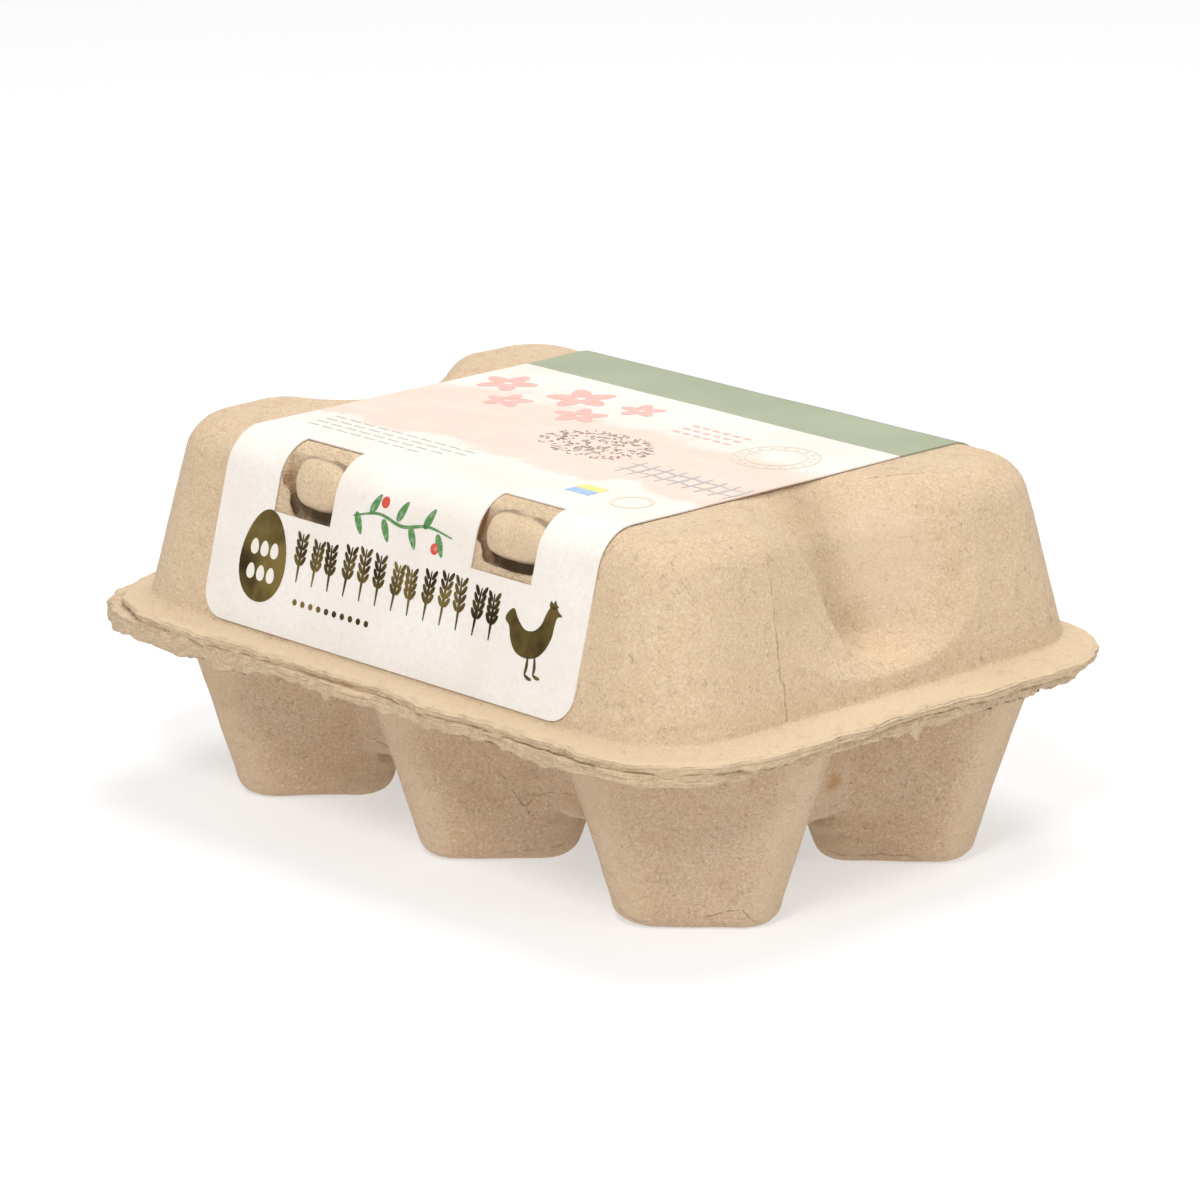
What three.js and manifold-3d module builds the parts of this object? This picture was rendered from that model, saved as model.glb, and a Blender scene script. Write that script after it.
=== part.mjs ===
// Moulded-pulp carton for six eggs, shut, with a paper label wrapped over its lid.
// Millimetres, +Z up. The origin is on the floor under the middle of the carton's outline,
// X runs along the front and -Y faces the front. The carton is shut, so tray and lid are solid inside.

import * as THREE from 'three';
import { mergeVertices } from 'three/addons/utils/BufferGeometryUtils.js';
import Module from 'manifold-3d';

const wasm = await Module();
wasm.setup();

// Clearance between pieces that touch
const GAP = 0.3;

// Middle of the lid and of the six feet, which sit a little to the right of the whole outline
const AXIS_X = 0.9;
const AXIS_Y = -0.4;

// Tray: rim, cells and the webs between them
const SEAM_Z = 33.0;
const TRAY_RIM = { halfX: 76.0, halfY: 56.2, corner: 22 };
const TRAY_RIM_SHIFT = [-1.5, -0.5];
const TRAY_RIM_THICK = 1.2;
const CELL_PITCH_X = 47.0;
const CELL_PITCH_Y = 46.5;
const CELL_COLUMNS = [-1, 0, 1];
const CELL_ROWS = [-0.5, 0.5];
const FOOT_SIDE = 12.8;
const FOOT_DRAFT = 0.298;
const FOOT_CORNER_LOW = 6.0;
const FOOT_CORNER_HIGH = 13.0;
const FOOT_BASE_ROUND = 2.6;
const WEB_Z = 10.0;
const WEB_HALF_LOW = 5.5;
const WEB_HALF_HIGH = 12.0;

// Lid: rim, drafted wall, rounded top edge and flat top
const LID_RIM = { halfX: 75.7, halfY: 56.0, corner: 22 };
const LID_RIM_TOP_Z = 34.8;
const WALL_BASE = { z: 36.0, halfX: 68.4, halfY: 51.2, corner: 16 };
const WALL_HIGH = { z: 60.0, halfX: 63.5, halfY: 45.0, corner: 12 };
const TOP_Z = 66.8;
const TOP_ROUND_UP = 5.5;
const TOP_ROUND_IN = 5.4;

// Scoop in each short end of the lid, inside a shallow dish with a U-shaped outline: a drooping
// shoulder, a leaning back wall and a rounded floor between a steep bank at the front (-Y), which
// flares towards the top, and a gentle slope at the back
const DISH = { halfWidth: 24.0, narrowZ: 54.0, tipZ: 39.2, power: 2.3 };
const DISH_DEPTH = 3.7;
const BANK = { halfWidth: 11.4, narrowZ: 57.5, tipZ: 39.2, power: 1.7 };
const BANK_POWER = 5.0;
const FLARE_Z = 54.7;
const FLARE_RISE = 11.0;
const FLARE_OUT = 9.3;
const FLARE_POWER = 1.5;
const SLOPE_POWER = 1.8;
const SCOOP_BACK_X = 52.0;
const SCOOP_LEAN = 0.27;
const SHOULDER_DOWN = 8.5;
const SHOULDER_IN = 7.6;
const SHOULDER_POWER = 1.6;
const SCOOP_FLOOR_Z = 40.0;
const SCOOP_FLOOR_RISE = 6.0;
const SCOOP_FLOOR_REACH = 9.0;
const SCOOP_FLOOR_POWER = 3.0;
const SCOOP_OVERSHOOT = 2.0;
const SCOOP_ROUND = { low: 4.0, high: 2.4, lowZ: 42.0, highZ: 47.0 };
const SCOOP_TIP_FADE = 8.0;

// Fold that hinges the lid to the tray, along the back
const HINGE_HALF_LENGTH = 50;
const HINGE_OUT = 57.1;
const HINGE_LOW_Z = 31.6;

// Latch windows in the label, the lid's pocket behind each, which leaves uneven lips of pulp in the
// window, and the knob that shows in it
const WINDOWS = [
  { x: -23.7, lipLeft: 2.8, lipLow: 0.1, knobLowZ: 57.4 },
  { x: 25.2, lipLeft: 1.0, lipLow: 1.1, knobLowZ: 58.4 },
];
const WINDOW_HALF = 7.2;
const WINDOW_LOW_Z = 55.8;
const WINDOW_BACK_Y = -38.4;
const POCKET_PAST_RIGHT = 1.2;
const PULP_LIP_BACK = 3.5;
const KNOB_MIDDLE_Z = 61.2;
const KNOB_HIGH_Z = 66.0;
const KNOB_FRONT_Y = -45.6;
const KNOB_SIDE_POWER = 3.2;
const KNOB_LOW_POWER = 3.2;
const KNOB_HIGH_POWER = 1.7;

// Paper label
const LABEL_THICK = 0.35;
const LABEL_HALF = 45.4;
const LABEL_SHIFT = 1.0;
const LABEL_FRONT_Z = 36.3;
const LABEL_BACK_Z = 44.0;
const LABEL_CORNER = 5.0;

// Mesh resolution
const CORNER_STEPS = 6;
const LONG_STEPS = 5;
const CELL_CORNER_STEPS = 5;
const KNOB_STEPS = 10;
const KNOB_SIDES = 24;
const KNOB_END_SHARE = 0.97;
const SCOOP_YS = [0, 3, 5.5, 7.5, 9, 10.5, 12, 13.5, 15, 16.5, 18, 19.5, 21.5, 24, 28];
const WALL_STEPS = 21;
const WALL_SAMPLES = 300;

const PULP = new THREE.MeshStandardMaterial({ color: 0xd2b48c, roughness: 0.95, metalness: 0 });
const TRAY_PULP = new THREE.MeshStandardMaterial({ color: 0xbf9f78, roughness: 0.95, metalness: 0 });
const PAPER = new THREE.MeshStandardMaterial({ color: 0xf1ece4, roughness: 0.7, metalness: 0 });

const mix = (a, b, t) => a + (b - a) * t;

// Minimum of two lengths with the corner between them rounded off
function softMin(a, b, round) {
  const near = Math.max(round - Math.abs(a - b), 0) / round;
  return Math.min(a, b) - near * near * round / 4;
}

// Quarter ellipse: how far a rounded edge has drawn in after a share t of its height
const quarterInset = (t) => 1 - Math.sqrt(Math.max(0, 1 - t * t));

// Loft through rings of equally many points, closed at both ends by a fan
function loft(rings) {
  const count = rings[0].length;
  const positions = rings.flat(2);
  const index = [];
  for (let level = 0; level + 1 < rings.length; level += 1) {
    for (let i = 0; i < count; i += 1) {
      const a = level * count + i;
      const b = level * count + (i + 1) % count;
      index.push(a, b, b + count, a, b + count, a + count);
    }
  }
  const capEnd = (level, flip) => {
    const middle = positions.length / 3;
    const ring = rings[level];
    for (const axis of [0, 1, 2]) {
      positions.push(ring.reduce((sum, point) => sum + point[axis], 0) / count);
    }
    for (let i = 0; i < count; i += 1) {
      const a = level * count + i;
      const b = level * count + (i + 1) % count;
      index.push(...(flip ? [middle, b, a] : [middle, a, b]));
    }
  };
  capEnd(0, true);
  capEnd(rings.length - 1, false);
  const geometry = new THREE.BufferGeometry();
  geometry.setAttribute('position', new THREE.Float32BufferAttribute(positions, 3));
  geometry.setIndex(index);
  return geometry;
}

function toManifold(source) {
  const geometry = source.clone();
  geometry.deleteAttribute('normal');
  geometry.deleteAttribute('uv');
  const merged = mergeVertices(geometry, 1e-4);
  return new wasm.Manifold(new wasm.Mesh({
    numProp: 3,
    vertProperties: new Float32Array(merged.attributes.position.array),
    triVerts: new Uint32Array(merged.index.array),
  }));
}

function toGeometry(solid) {
  const mesh = solid.getMesh();
  const geometry = new THREE.BufferGeometry();
  geometry.setAttribute('position', new THREE.BufferAttribute(mesh.vertProperties, 3));
  geometry.setIndex(new THREE.BufferAttribute(mesh.triVerts, 1));
  return geometry;
}

function boxBetween([x0, y0, z0], [x1, y1, z1]) {
  const geometry = new THREE.BoxGeometry(x1 - x0, y1 - y0, z1 - z0);
  return geometry.translate((x0 + x1) / 2, (y0 + y1) / 2, (z0 + z1) / 2);
}

// Outline drawn in Y and Z, drawn out along X between two ends
function extrudeAlongX(shape, x0, x1) {
  const geometry = new THREE.ExtrudeGeometry(shape, { depth: x1 - x0, bevelEnabled: false });
  const axes = new THREE.Matrix4().set(0, 0, 1, 0, 1, 0, 0, 0, 0, 1, 0, 0, 0, 0, 0, 1);
  return geometry.applyMatrix4(axes).translate(x0, 0, 0);
}

// Outline drawn in X and Z, drawn out along Y between two ends
function extrudeAlongY(shape, y0, y1) {
  const geometry = new THREE.ExtrudeGeometry(shape, { depth: y1 - y0, bevelEnabled: false });
  return geometry.rotateX(Math.PI / 2).translate(0, y1, 0);
}

// Ring of a rounded rectangle, starting at the middle of its right end
function roundedRing({ halfX, halfY, corner }, endYs) {
  const quarter = endYs.map((y) => [halfX, y]);
  for (let i = 0; i <= CORNER_STEPS; i += 1) {
    const angle = (Math.PI / 2) * (i / CORNER_STEPS);
    quarter.push([halfX - corner + corner * Math.cos(angle), halfY - corner + corner * Math.sin(angle)]);
  }
  for (let i = LONG_STEPS - 1; i >= 0; i -= 1) {
    quarter.push([(halfX - corner) * (i / LONG_STEPS), halfY]);
  }
  const left = quarter.slice(0, -1).reverse().map(([x, y]) => [-x, y]);
  const back = [...quarter, ...left];
  const front = back.slice(1, -1).reverse().map(([x, y]) => [x, -y]);
  return [...back, ...front];
}

const inset = (section, by) => ({
  halfX: section.halfX - by,
  halfY: section.halfY - by,
  corner: section.corner - by,
});

// Torn rims are uneven: a slow wave along the front and the ends, none along the hinge
function tornRim(points, depth, phase) {
  return points.map(([x, y]) => {
    const angle = Math.atan2(y, x);
    const share = y > 0 && Math.abs(x) < HINGE_HALF_LENGTH + 3 ? 0 : 1;
    const wave = Math.sin(7 * angle + phase) + 0.7 * Math.sin(13 * angle + 2.1 * phase);
    const scale = 1 - share * depth * (1.7 + wave) / Math.hypot(x, y);
    return [x * scale, y * scale];
  });
}

const atHeight = (points, z, [dx, dy] = [0, 0]) => points.map(([x, y]) => [x + dx, y + dy, z]);

// Lid wall at one height: drafted, and drawn in along its rounded top edge
function wallSection(z) {
  const t = (z - WALL_BASE.z) / (WALL_HIGH.z - WALL_BASE.z);
  const rounded = Math.max(0, (z - (TOP_Z - TOP_ROUND_UP)) / TOP_ROUND_UP);
  const drawnIn = TOP_ROUND_IN * quarterInset(rounded);
  return inset({
    halfX: mix(WALL_BASE.halfX, WALL_HIGH.halfX, t),
    halfY: mix(WALL_BASE.halfY, WALL_HIGH.halfY, t),
    corner: mix(WALL_BASE.corner, WALL_HIGH.corner, t),
  }, drawnIn);
}

// Half width at one height of a U-shaped outline that closes at its tip
function halfWidthAt(z, { halfWidth, narrowZ, tipZ, power }) {
  const t = Math.max(0, (narrowZ - z) / (narrowZ - tipZ));
  return halfWidth * Math.max(0, 1 - t ** power) ** (1 / power);
}

// Deepest line of the scoop at one height, from its shoulder down its back to its floor
function scoopBackX(z) {
  const down = Math.max(0, (SCOOP_FLOOR_Z + SCOOP_FLOOR_RISE - z) / SCOOP_FLOOR_RISE);
  const up = Math.max(0, (z - (TOP_Z - SHOULDER_DOWN)) / SHOULDER_DOWN);
  const shoulder = SHOULDER_IN * (1 - (1 - up ** SHOULDER_POWER) ** (1 / SHOULDER_POWER));
  const floor = SCOOP_FLOOR_REACH * down ** SCOOP_FLOOR_POWER;
  return SCOOP_BACK_X + SCOOP_LEAN * (TOP_Z - z) - shoulder + floor;
}

// How far out the lid's end stands at one height and one distance from its middle
function endReach(wallX, y, z) {
  const dish = halfWidthAt(z, DISH);
  if (dish < 0.5) return wallX;
  const open = (dish / DISH.halfWidth) ** 2;
  const faceX = wallX - DISH_DEPTH * open * Math.max(0, 1 - (y / dish) ** 2);
  const flare = FLARE_OUT * Math.max(0, (z - FLARE_Z) / FLARE_RISE) ** FLARE_POWER;
  const bank = Math.max(0.5, halfWidthAt(z, BANK) + flare);
  const side = y < 0 ? (-y / bank) ** BANK_POWER : (y / dish) ** SLOPE_POWER;
  const sideX = wallX + SCOOP_OVERSHOOT;
  const beyond = SCOOP_OVERSHOOT * Math.max(0, side - 1);
  const scoopX = mix(Math.min(sideX, scoopBackX(z)), sideX, side) + beyond;
  const up = Math.min(1, Math.max(0, (z - SCOOP_ROUND.lowZ) / (SCOOP_ROUND.highZ - SCOOP_ROUND.lowZ)));
  const round = mix(SCOOP_ROUND.low, SCOOP_ROUND.high, up) * Math.min(1, dish / SCOOP_TIP_FADE);
  return softMin(scoopX, faceX, round);
}

function wallRing(z) {
  const section = wallSection(z);
  return roundedRing(section, SCOOP_YS).map(([x, y]) => {
    const onEnd = Math.abs(y) <= SCOOP_YS.at(-1) && Math.abs(x) > section.halfX - 1e-6;
    return onEnd ? [Math.sign(x) * endReach(section.halfX, y, z), y] : [x, y];
  });
}

// Evenly spaced points along a path, its ends kept
function respace(path, steps) {
  const along = [0];
  for (let i = 1; i < path.length; i += 1) {
    const [a, b] = [path[i - 1], path[i]];
    along.push(along[i - 1] + Math.hypot(...a.map((value, axis) => value - b[axis])));
  }
  const points = [];
  let i = 1;
  for (let step = 0; step <= steps; step += 1) {
    const target = along.at(-1) * (step / steps);
    while (i < path.length - 1 && along[i] < target) i += 1;
    const t = (target - along[i - 1]) / (along[i] - along[i - 1]);
    points.push(path[i - 1].map((value, axis) => mix(value, path[i][axis], t)));
  }
  return points;
}

// Rings up the lid's wall and round its top edge, evenly spaced along every column
function wallRings() {
  const samples = [];
  for (let i = 0; i <= WALL_SAMPLES; i += 1) {
    const z = mix(WALL_BASE.z, TOP_Z, i / WALL_SAMPLES);
    samples.push(atHeight(wallRing(z), z));
  }
  const columns = samples[0].map((_, column) => respace(samples.map((ring) => ring[column]), WALL_STEPS));
  return Array.from({ length: WALL_STEPS + 1 }, (_, step) => columns.map((column) => column[step]));
}

// Front and back outline of the lid in Y and Z, from the front's foot over the top to the back's foot
function lidOutline() {
  const back = wallRings().map((ring) => {
    const middle = ring.find(([x, y]) => Math.abs(x) < 1e-6 && y > 0);
    return [middle[1], middle[2]];
  });
  const front = back.map(([y, z]) => [-y, z]);
  return [...front, ...back.reverse()];
}

// The same outline moved outwards along its normals
function offsetOutline(outline, distance) {
  return outline.map(([y, z], i) => {
    const [y0, z0] = outline[Math.max(0, i - 1)];
    const [y1, z1] = outline[Math.min(outline.length - 1, i + 1)];
    const length = Math.hypot(y1 - y0, z1 - z0);
    return new THREE.Vector2(y - distance * (z1 - z0) / length, z + distance * (y1 - y0) / length);
  });
}

// Left and right side of the lid's pocket behind one window, which is off centre in it
const pocketSides = ({ x, lipLeft }) => [x - WINDOW_HALF + lipLeft, x + WINDOW_HALF + POCKET_PAST_RIGHT];

function makeLid() {
  const seam = SEAM_Z + GAP;
  const rim = [
    [seam, 0.5],
    [seam + 0.6, 0.0],
    [LID_RIM_TOP_Z - 0.4, 0.3],
    [LID_RIM_TOP_Z, 1.3],
  ].map(([z, by]) => atHeight(tornRim(roundedRing(inset(LID_RIM, by), SCOOP_YS), 0.4, 1.0), z));
  const flare = [0.45, 0.75, 0.93].map((t) => {
    const section = {
      halfX: mix(LID_RIM.halfX - 1.3, WALL_BASE.halfX, t),
      halfY: mix(LID_RIM.halfY - 1.3, WALL_BASE.halfY, t),
      corner: mix(LID_RIM.corner - 1.3, WALL_BASE.corner, t),
    };
    return atHeight(roundedRing(section, SCOOP_YS), mix(LID_RIM_TOP_Z, WALL_BASE.z, t ** 2.4));
  });
  let lid = toManifold(loft([...rim, ...flare, ...wallRings()]));

  const fold = extrudeAlongX(new THREE.Shape([
    new THREE.Vector2(HINGE_OUT - 1.5, HINGE_LOW_Z),
    new THREE.Vector2(HINGE_OUT - 0.6, HINGE_LOW_Z - 0.1),
    new THREE.Vector2(HINGE_OUT, HINGE_LOW_Z + 0.9),
    new THREE.Vector2(HINGE_OUT, LID_RIM_TOP_Z - 0.9),
    new THREE.Vector2(HINGE_OUT - 0.7, LID_RIM_TOP_Z),
    new THREE.Vector2(HINGE_OUT - 2.2, LID_RIM_TOP_Z - 0.2),
    new THREE.Vector2(HINGE_OUT - 2.2, seam + 0.3),
    new THREE.Vector2(HINGE_OUT - 1.5, seam),
  ]), -HINGE_HALF_LENGTH, HINGE_HALF_LENGTH);
  lid = lid.add(toManifold(fold.translate(0, -AXIS_Y, 0)));

  for (const window of WINDOWS) {
    const [left, right] = pocketSides(window);
    const low = [left, -60, WINDOW_LOW_Z + window.lipLow];
    const pocket = boxBetween(low, [right, WINDOW_BACK_Y - PULP_LIP_BACK, 80]);
    lid = lid.subtract(toManifold(pocket));
  }
  return toGeometry(lid).translate(AXIS_X, AXIS_Y, 0);
}

// One cell's foot: a rounded square turned by 45 degrees that widens upwards
function footRing(side, corner, z, x, y) {
  const ring = [];
  for (const quarter of [0, 1, 2, 3]) {
    for (let i = 0; i <= CELL_CORNER_STEPS; i += 1) {
      const turn = quarter * Math.PI / 2;
      const angle = turn + (Math.PI / 2) * (i / CELL_CORNER_STEPS) - Math.PI / 4;
      const reach = Math.SQRT2 * (side - corner);
      ring.push([
        x + reach * Math.cos(turn) + corner * Math.cos(angle),
        y + reach * Math.sin(turn) + corner * Math.sin(angle),
        z,
      ]);
    }
  }
  return ring;
}

function makeFoot(x, y) {
  const top = SEAM_Z - TRAY_RIM_THICK / 2;
  const heights = [0, 0.5, 1.5, FOOT_BASE_ROUND, 9, 17, 25, top];
  return loft(heights.map((z) => {
    const rounded = Math.max(0, (FOOT_BASE_ROUND - z) / FOOT_BASE_ROUND);
    const drawnIn = FOOT_BASE_ROUND * quarterInset(rounded);
    const corner = mix(FOOT_CORNER_LOW, FOOT_CORNER_HIGH, z / top);
    return footRing(FOOT_SIDE + FOOT_DRAFT * z - drawnIn, Math.max(2, corner - drawnIn), z, x, y);
  }));
}

// Web between two neighbouring cells: a drafted wall with a straight lower edge
function makeWeb([x0, y0], [x1, y1]) {
  const top = SEAM_Z - TRAY_RIM_THICK / 2;
  const length = Math.hypot(x1 - x0, y1 - y0);
  const shape = new THREE.Shape([
    new THREE.Vector2(-WEB_HALF_LOW, WEB_Z + 1.2),
    new THREE.Vector2(-WEB_HALF_LOW + 1.5, WEB_Z),
    new THREE.Vector2(WEB_HALF_LOW - 1.5, WEB_Z),
    new THREE.Vector2(WEB_HALF_LOW, WEB_Z + 1.2),
    new THREE.Vector2(WEB_HALF_HIGH, top),
    new THREE.Vector2(-WEB_HALF_HIGH, top),
  ]);
  const web = extrudeAlongX(shape, -length / 2, length / 2);
  web.rotateZ(Math.atan2(y1 - y0, x1 - x0));
  return web.translate((x0 + x1) / 2, (y0 + y1) / 2, 0);
}

function makeTray() {
  const rimLow = SEAM_Z - TRAY_RIM_THICK;
  const shift = [AXIS_X + TRAY_RIM_SHIFT[0], AXIS_Y + TRAY_RIM_SHIFT[1]];
  const rim = [[rimLow, 0.5], [rimLow + 0.6, 0], [SEAM_Z - 0.4, 0], [SEAM_Z, 0.4]].map(([z, by]) => {
    const ring = roundedRing(inset(TRAY_RIM, by), SCOOP_YS);
    return atHeight(tornRim(ring, 0.4, 3.4), z, shift);
  });
  let tray = toManifold(loft(rim));
  const cell = (column, row) => [AXIS_X + column * CELL_PITCH_X, AXIS_Y + row * CELL_PITCH_Y];
  for (const row of CELL_ROWS) {
    for (const column of CELL_COLUMNS) {
      tray = tray.add(toManifold(makeFoot(...cell(column, row))));
      if (column < 1) tray = tray.add(toManifold(makeWeb(cell(column, row), cell(column + 1, row))));
    }
  }
  for (const column of CELL_COLUMNS) {
    tray = tray.add(toManifold(makeWeb(cell(column, CELL_ROWS[0]), cell(column, CELL_ROWS[1]))));
  }
  return toGeometry(tray);
}

// Knob of the tray's latch flap, as far as it shows in its window: a pillow cut off at its back,
// which droops towards the lid's top and tucks in sharply at its lower edge
function makeKnob(window) {
  const backY = WINDOW_BACK_Y - PULP_LIP_BACK - GAP;
  const [left, right] = pocketSides(window);
  const [middleX, half] = [(left + right) / 2, (right - left) / 2 - GAP];
  const rings = [];
  for (let i = 0; i <= KNOB_STEPS; i += 1) {
    const across = -Math.cos(Math.PI * (i / KNOB_STEPS));
    const reach = (1 - KNOB_END_SHARE * Math.abs(across) ** KNOB_SIDE_POWER) ** (1 / KNOB_SIDE_POWER);
    rings.push(Array.from({ length: KNOB_SIDES }, (_, side) => {
      const angle = 2 * Math.PI * (side / KNOB_SIDES);
      const upper = Math.sin(angle) > 0;
      const power = upper ? KNOB_HIGH_POWER : KNOB_LOW_POWER;
      const [c, s] = [Math.cos(angle), Math.sin(angle)].map((v) => Math.sign(v) * Math.abs(v) ** (2 / power));
      const height = upper ? KNOB_HIGH_Z - KNOB_MIDDLE_Z : KNOB_MIDDLE_Z - window.knobLowZ;
      return [
        middleX + across * half,
        backY + (backY - KNOB_FRONT_Y) * reach * c,
        KNOB_MIDDLE_Z + height * reach * s,
      ];
    }));
  }
  const front = boxBetween([left, -60, WINDOW_LOW_Z], [right, backY, TOP_Z]);
  const knob = toManifold(loft(rings)).intersect(toManifold(front));
  return toGeometry(knob).translate(AXIS_X, AXIS_Y, 0);
}

// Panel with rounded lower corners, standing in X and Z, that trims one end of the label
function labelPanel(lowZ) {
  const shape = new THREE.Shape();
  const [left, right] = [LABEL_SHIFT - LABEL_HALF, LABEL_SHIFT + LABEL_HALF];
  shape.moveTo(left, TOP_Z + 5);
  shape.lineTo(left, lowZ + LABEL_CORNER);
  shape.absarc(left + LABEL_CORNER, lowZ + LABEL_CORNER, LABEL_CORNER, Math.PI, 1.5 * Math.PI, false);
  shape.absarc(right - LABEL_CORNER, lowZ + LABEL_CORNER, LABEL_CORNER, 1.5 * Math.PI, 2 * Math.PI, false);
  shape.lineTo(right, TOP_Z + 5);
  return shape;
}

function makeLabel() {
  const outline = lidOutline();
  const outer = offsetOutline(outline, GAP + LABEL_THICK);
  const inner = offsetOutline(outline, GAP).reverse();
  const sheet = new THREE.Shape([...outer, ...inner]);
  let label = toManifold(extrudeAlongX(sheet, LABEL_SHIFT - LABEL_HALF - 1, LABEL_SHIFT + LABEL_HALF + 1));
  const front = toManifold(extrudeAlongY(labelPanel(LABEL_FRONT_Z), -70, 0));
  const back = toManifold(extrudeAlongY(labelPanel(LABEL_BACK_Z), 0, 70));
  label = label.intersect(front.add(back));
  for (const { x } of WINDOWS) {
    const hole = boxBetween([x - WINDOW_HALF, -60, WINDOW_LOW_Z], [x + WINDOW_HALF, WINDOW_BACK_Y, 80]);
    label = label.subtract(toManifold(hole));
  }
  return toGeometry(label).translate(AXIS_X, AXIS_Y, 0);
}

const carton = new THREE.Group();

function addPiece(name, geometry, material) {
  const mesh = new THREE.Mesh(geometry, material);
  mesh.name = name;
  carton.add(mesh);
}

addPiece('tray', makeTray(), TRAY_PULP);
addPiece('lid', makeLid(), PULP);
addPiece('latch_left', makeKnob(WINDOWS[0]), PULP);
addPiece('latch_right', makeKnob(WINDOWS[1]), PULP);
addPiece('label', makeLabel(), PAPER);

export default carton;
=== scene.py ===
import functools
import itertools
import math

import bmesh
import bpy
import numpy as np
from mathutils import Matrix, Vector


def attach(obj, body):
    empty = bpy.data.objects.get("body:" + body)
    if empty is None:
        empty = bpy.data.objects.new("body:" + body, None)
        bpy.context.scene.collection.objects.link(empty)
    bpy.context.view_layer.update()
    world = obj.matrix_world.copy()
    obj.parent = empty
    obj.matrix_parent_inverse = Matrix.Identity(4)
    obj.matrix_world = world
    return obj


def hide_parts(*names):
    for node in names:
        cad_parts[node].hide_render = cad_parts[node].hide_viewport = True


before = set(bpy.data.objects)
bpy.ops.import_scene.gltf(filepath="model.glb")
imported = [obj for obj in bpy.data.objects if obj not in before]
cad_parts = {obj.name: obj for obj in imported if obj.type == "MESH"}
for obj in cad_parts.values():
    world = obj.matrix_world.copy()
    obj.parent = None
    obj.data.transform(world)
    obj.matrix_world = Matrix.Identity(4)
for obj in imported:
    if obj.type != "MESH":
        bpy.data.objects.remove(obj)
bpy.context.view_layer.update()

# A shut six-egg carton of moulded pulp with a paper label over its lid.
# Sizes are millimetres in the lid's own frame, whose axis stands at AXIS; MM turns them into metres.
MM = 0.001
AXIS = np.array([0.9, -0.4, 0.0])

# Tray
SEAM_Z = 33.0
GAP = 0.3
TORN_DEPTH = 0.4
TRAY_RIM = (76.0, 56.2, 22.0)
TRAY_RIM_SHIFT = (-1.5, -0.5)
TRAY_RIM_LOW_Z = 31.8
TRAY_TORN_PHASE = 3.4
CELL_PITCH_X = 47.0
CELL_PITCH_Y = 46.5
CELL_COLUMNS = (-1, 0, 1)
CELL_ROWS = (-0.5, 0.5)
FOOT_SIDE = 12.8
FOOT_DRAFT = 0.298
FOOT_CORNERS = (6.0, 13.0)
FOOT_BASE_ROUND = 2.6
FOOT_TOP_Z = SEAM_Z - 0.5
FOOT_RING_ZS = (0, 0.3, 0.7, 1.2, 1.9, FOOT_BASE_ROUND, 6, 10, 15, 20, 25, 29, FOOT_TOP_Z)
WEB_Z = 10.0
WEB_HALVES = (5.5, 12.0)
TRAY_VOXEL = 0.8
TRAY_RELIEF = ((0.3, 17, 60), (0.12, 6, 61), (0.04, 2.1, 62))
CRUMPLE_HEIGHT = 1.5
RIM_SLUMP = 1.7

# Lid
LID_RIM = (75.7, 56.0, 22.0)
LID_RIM_TOP_Z = 34.8
LID_TORN_PHASE = 1.0
LIP_INSET = 1.45
SHELF_SHARES = (0.12, 0.25, 0.38, 0.5, 0.62, 0.73, 0.82, 0.9, 0.96)
SHELF_POWER = 2.4
WALL_BASE_Z = 36.0
WALL_BASE = (68.4, 51.2, 16.0)
WALL_HIGH_Z = 60.0
WALL_HIGH = (63.5, 45.0, 12.0)
TOP_Z = 66.8
TOP_ROUND_UP = 5.5
TOP_ROUND_IN = 5.4
LID_RELIEF = ((0.28, 24, 1), (0.1, 7, 2), (0.035, 1.9, 3))
RIDGE_HEIGHT = 0.16
RIDGE_HALF = 0.7

# How ragged and how layered the lid's rim is, ring by ring from under it inwards
LID_RAGGED = [0.0, 0.25, 0.6, 0.9] + 12 * [1.0] + [0.85, 0.65, 0.45, 0.3, 0.15, 0.05]
LID_LAYERED = 4 * [0.0] + 10 * [1.0] + [0.6, 0.2]

# Laminations of a torn edge
LAYER_THICK = 0.42
LAYER_SHIFT = 0.22
LAYER_CREASE = 0.2

# Scoop in each short end of the lid; an outline is half width, height of narrowing, tip height and power
DISH = (24.0, 54.0, 39.2, 2.3)
DISH_DEPTH = 3.7
BANK = (11.4, 57.5, 39.2, 1.7)
BANK_POWER = 5.0
FLARE_Z = 54.7
FLARE_RISE = 11.0
FLARE_OUT = 9.3
FLARE_POWER = 1.5
SLOPE_POWER = 1.8
SCOOP_BACK_X = 52.0
SCOOP_LEAN = 0.27
SHOULDER_DOWN = 8.5
SHOULDER_IN = 7.6
SHOULDER_POWER = 1.6
SCOOP_FLOOR_TOP_Z = 46.0
SCOOP_FLOOR_RISE = 6.0
SCOOP_FLOOR_REACH = 9.0
SCOOP_OVERSHOOT = 2.0
SCOOP_ROUNDS = (4.0, 2.4)
SCOOP_ROUND_ZS = (42.0, 47.0)
SCOOP_TIP_FADE = 8.0

# Painted shade and light in the scoop: painted shade in the fold behind the bank, and painted light that
# makes the dish beside it paler
SHADED_VALLEY_Y = -3.0
SHADED_VALLEY_HALF = 4.6
LIT_DISH_MIDDLE = (10.0, 54.5)
LIT_DISH_HALVES = (9.5, 10.0)

# Fold along the back
HINGE_HALF_LENGTH = 50.0
HINGE_OUT = 57.5
HINGE_LOW_Z = 31.6

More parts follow.
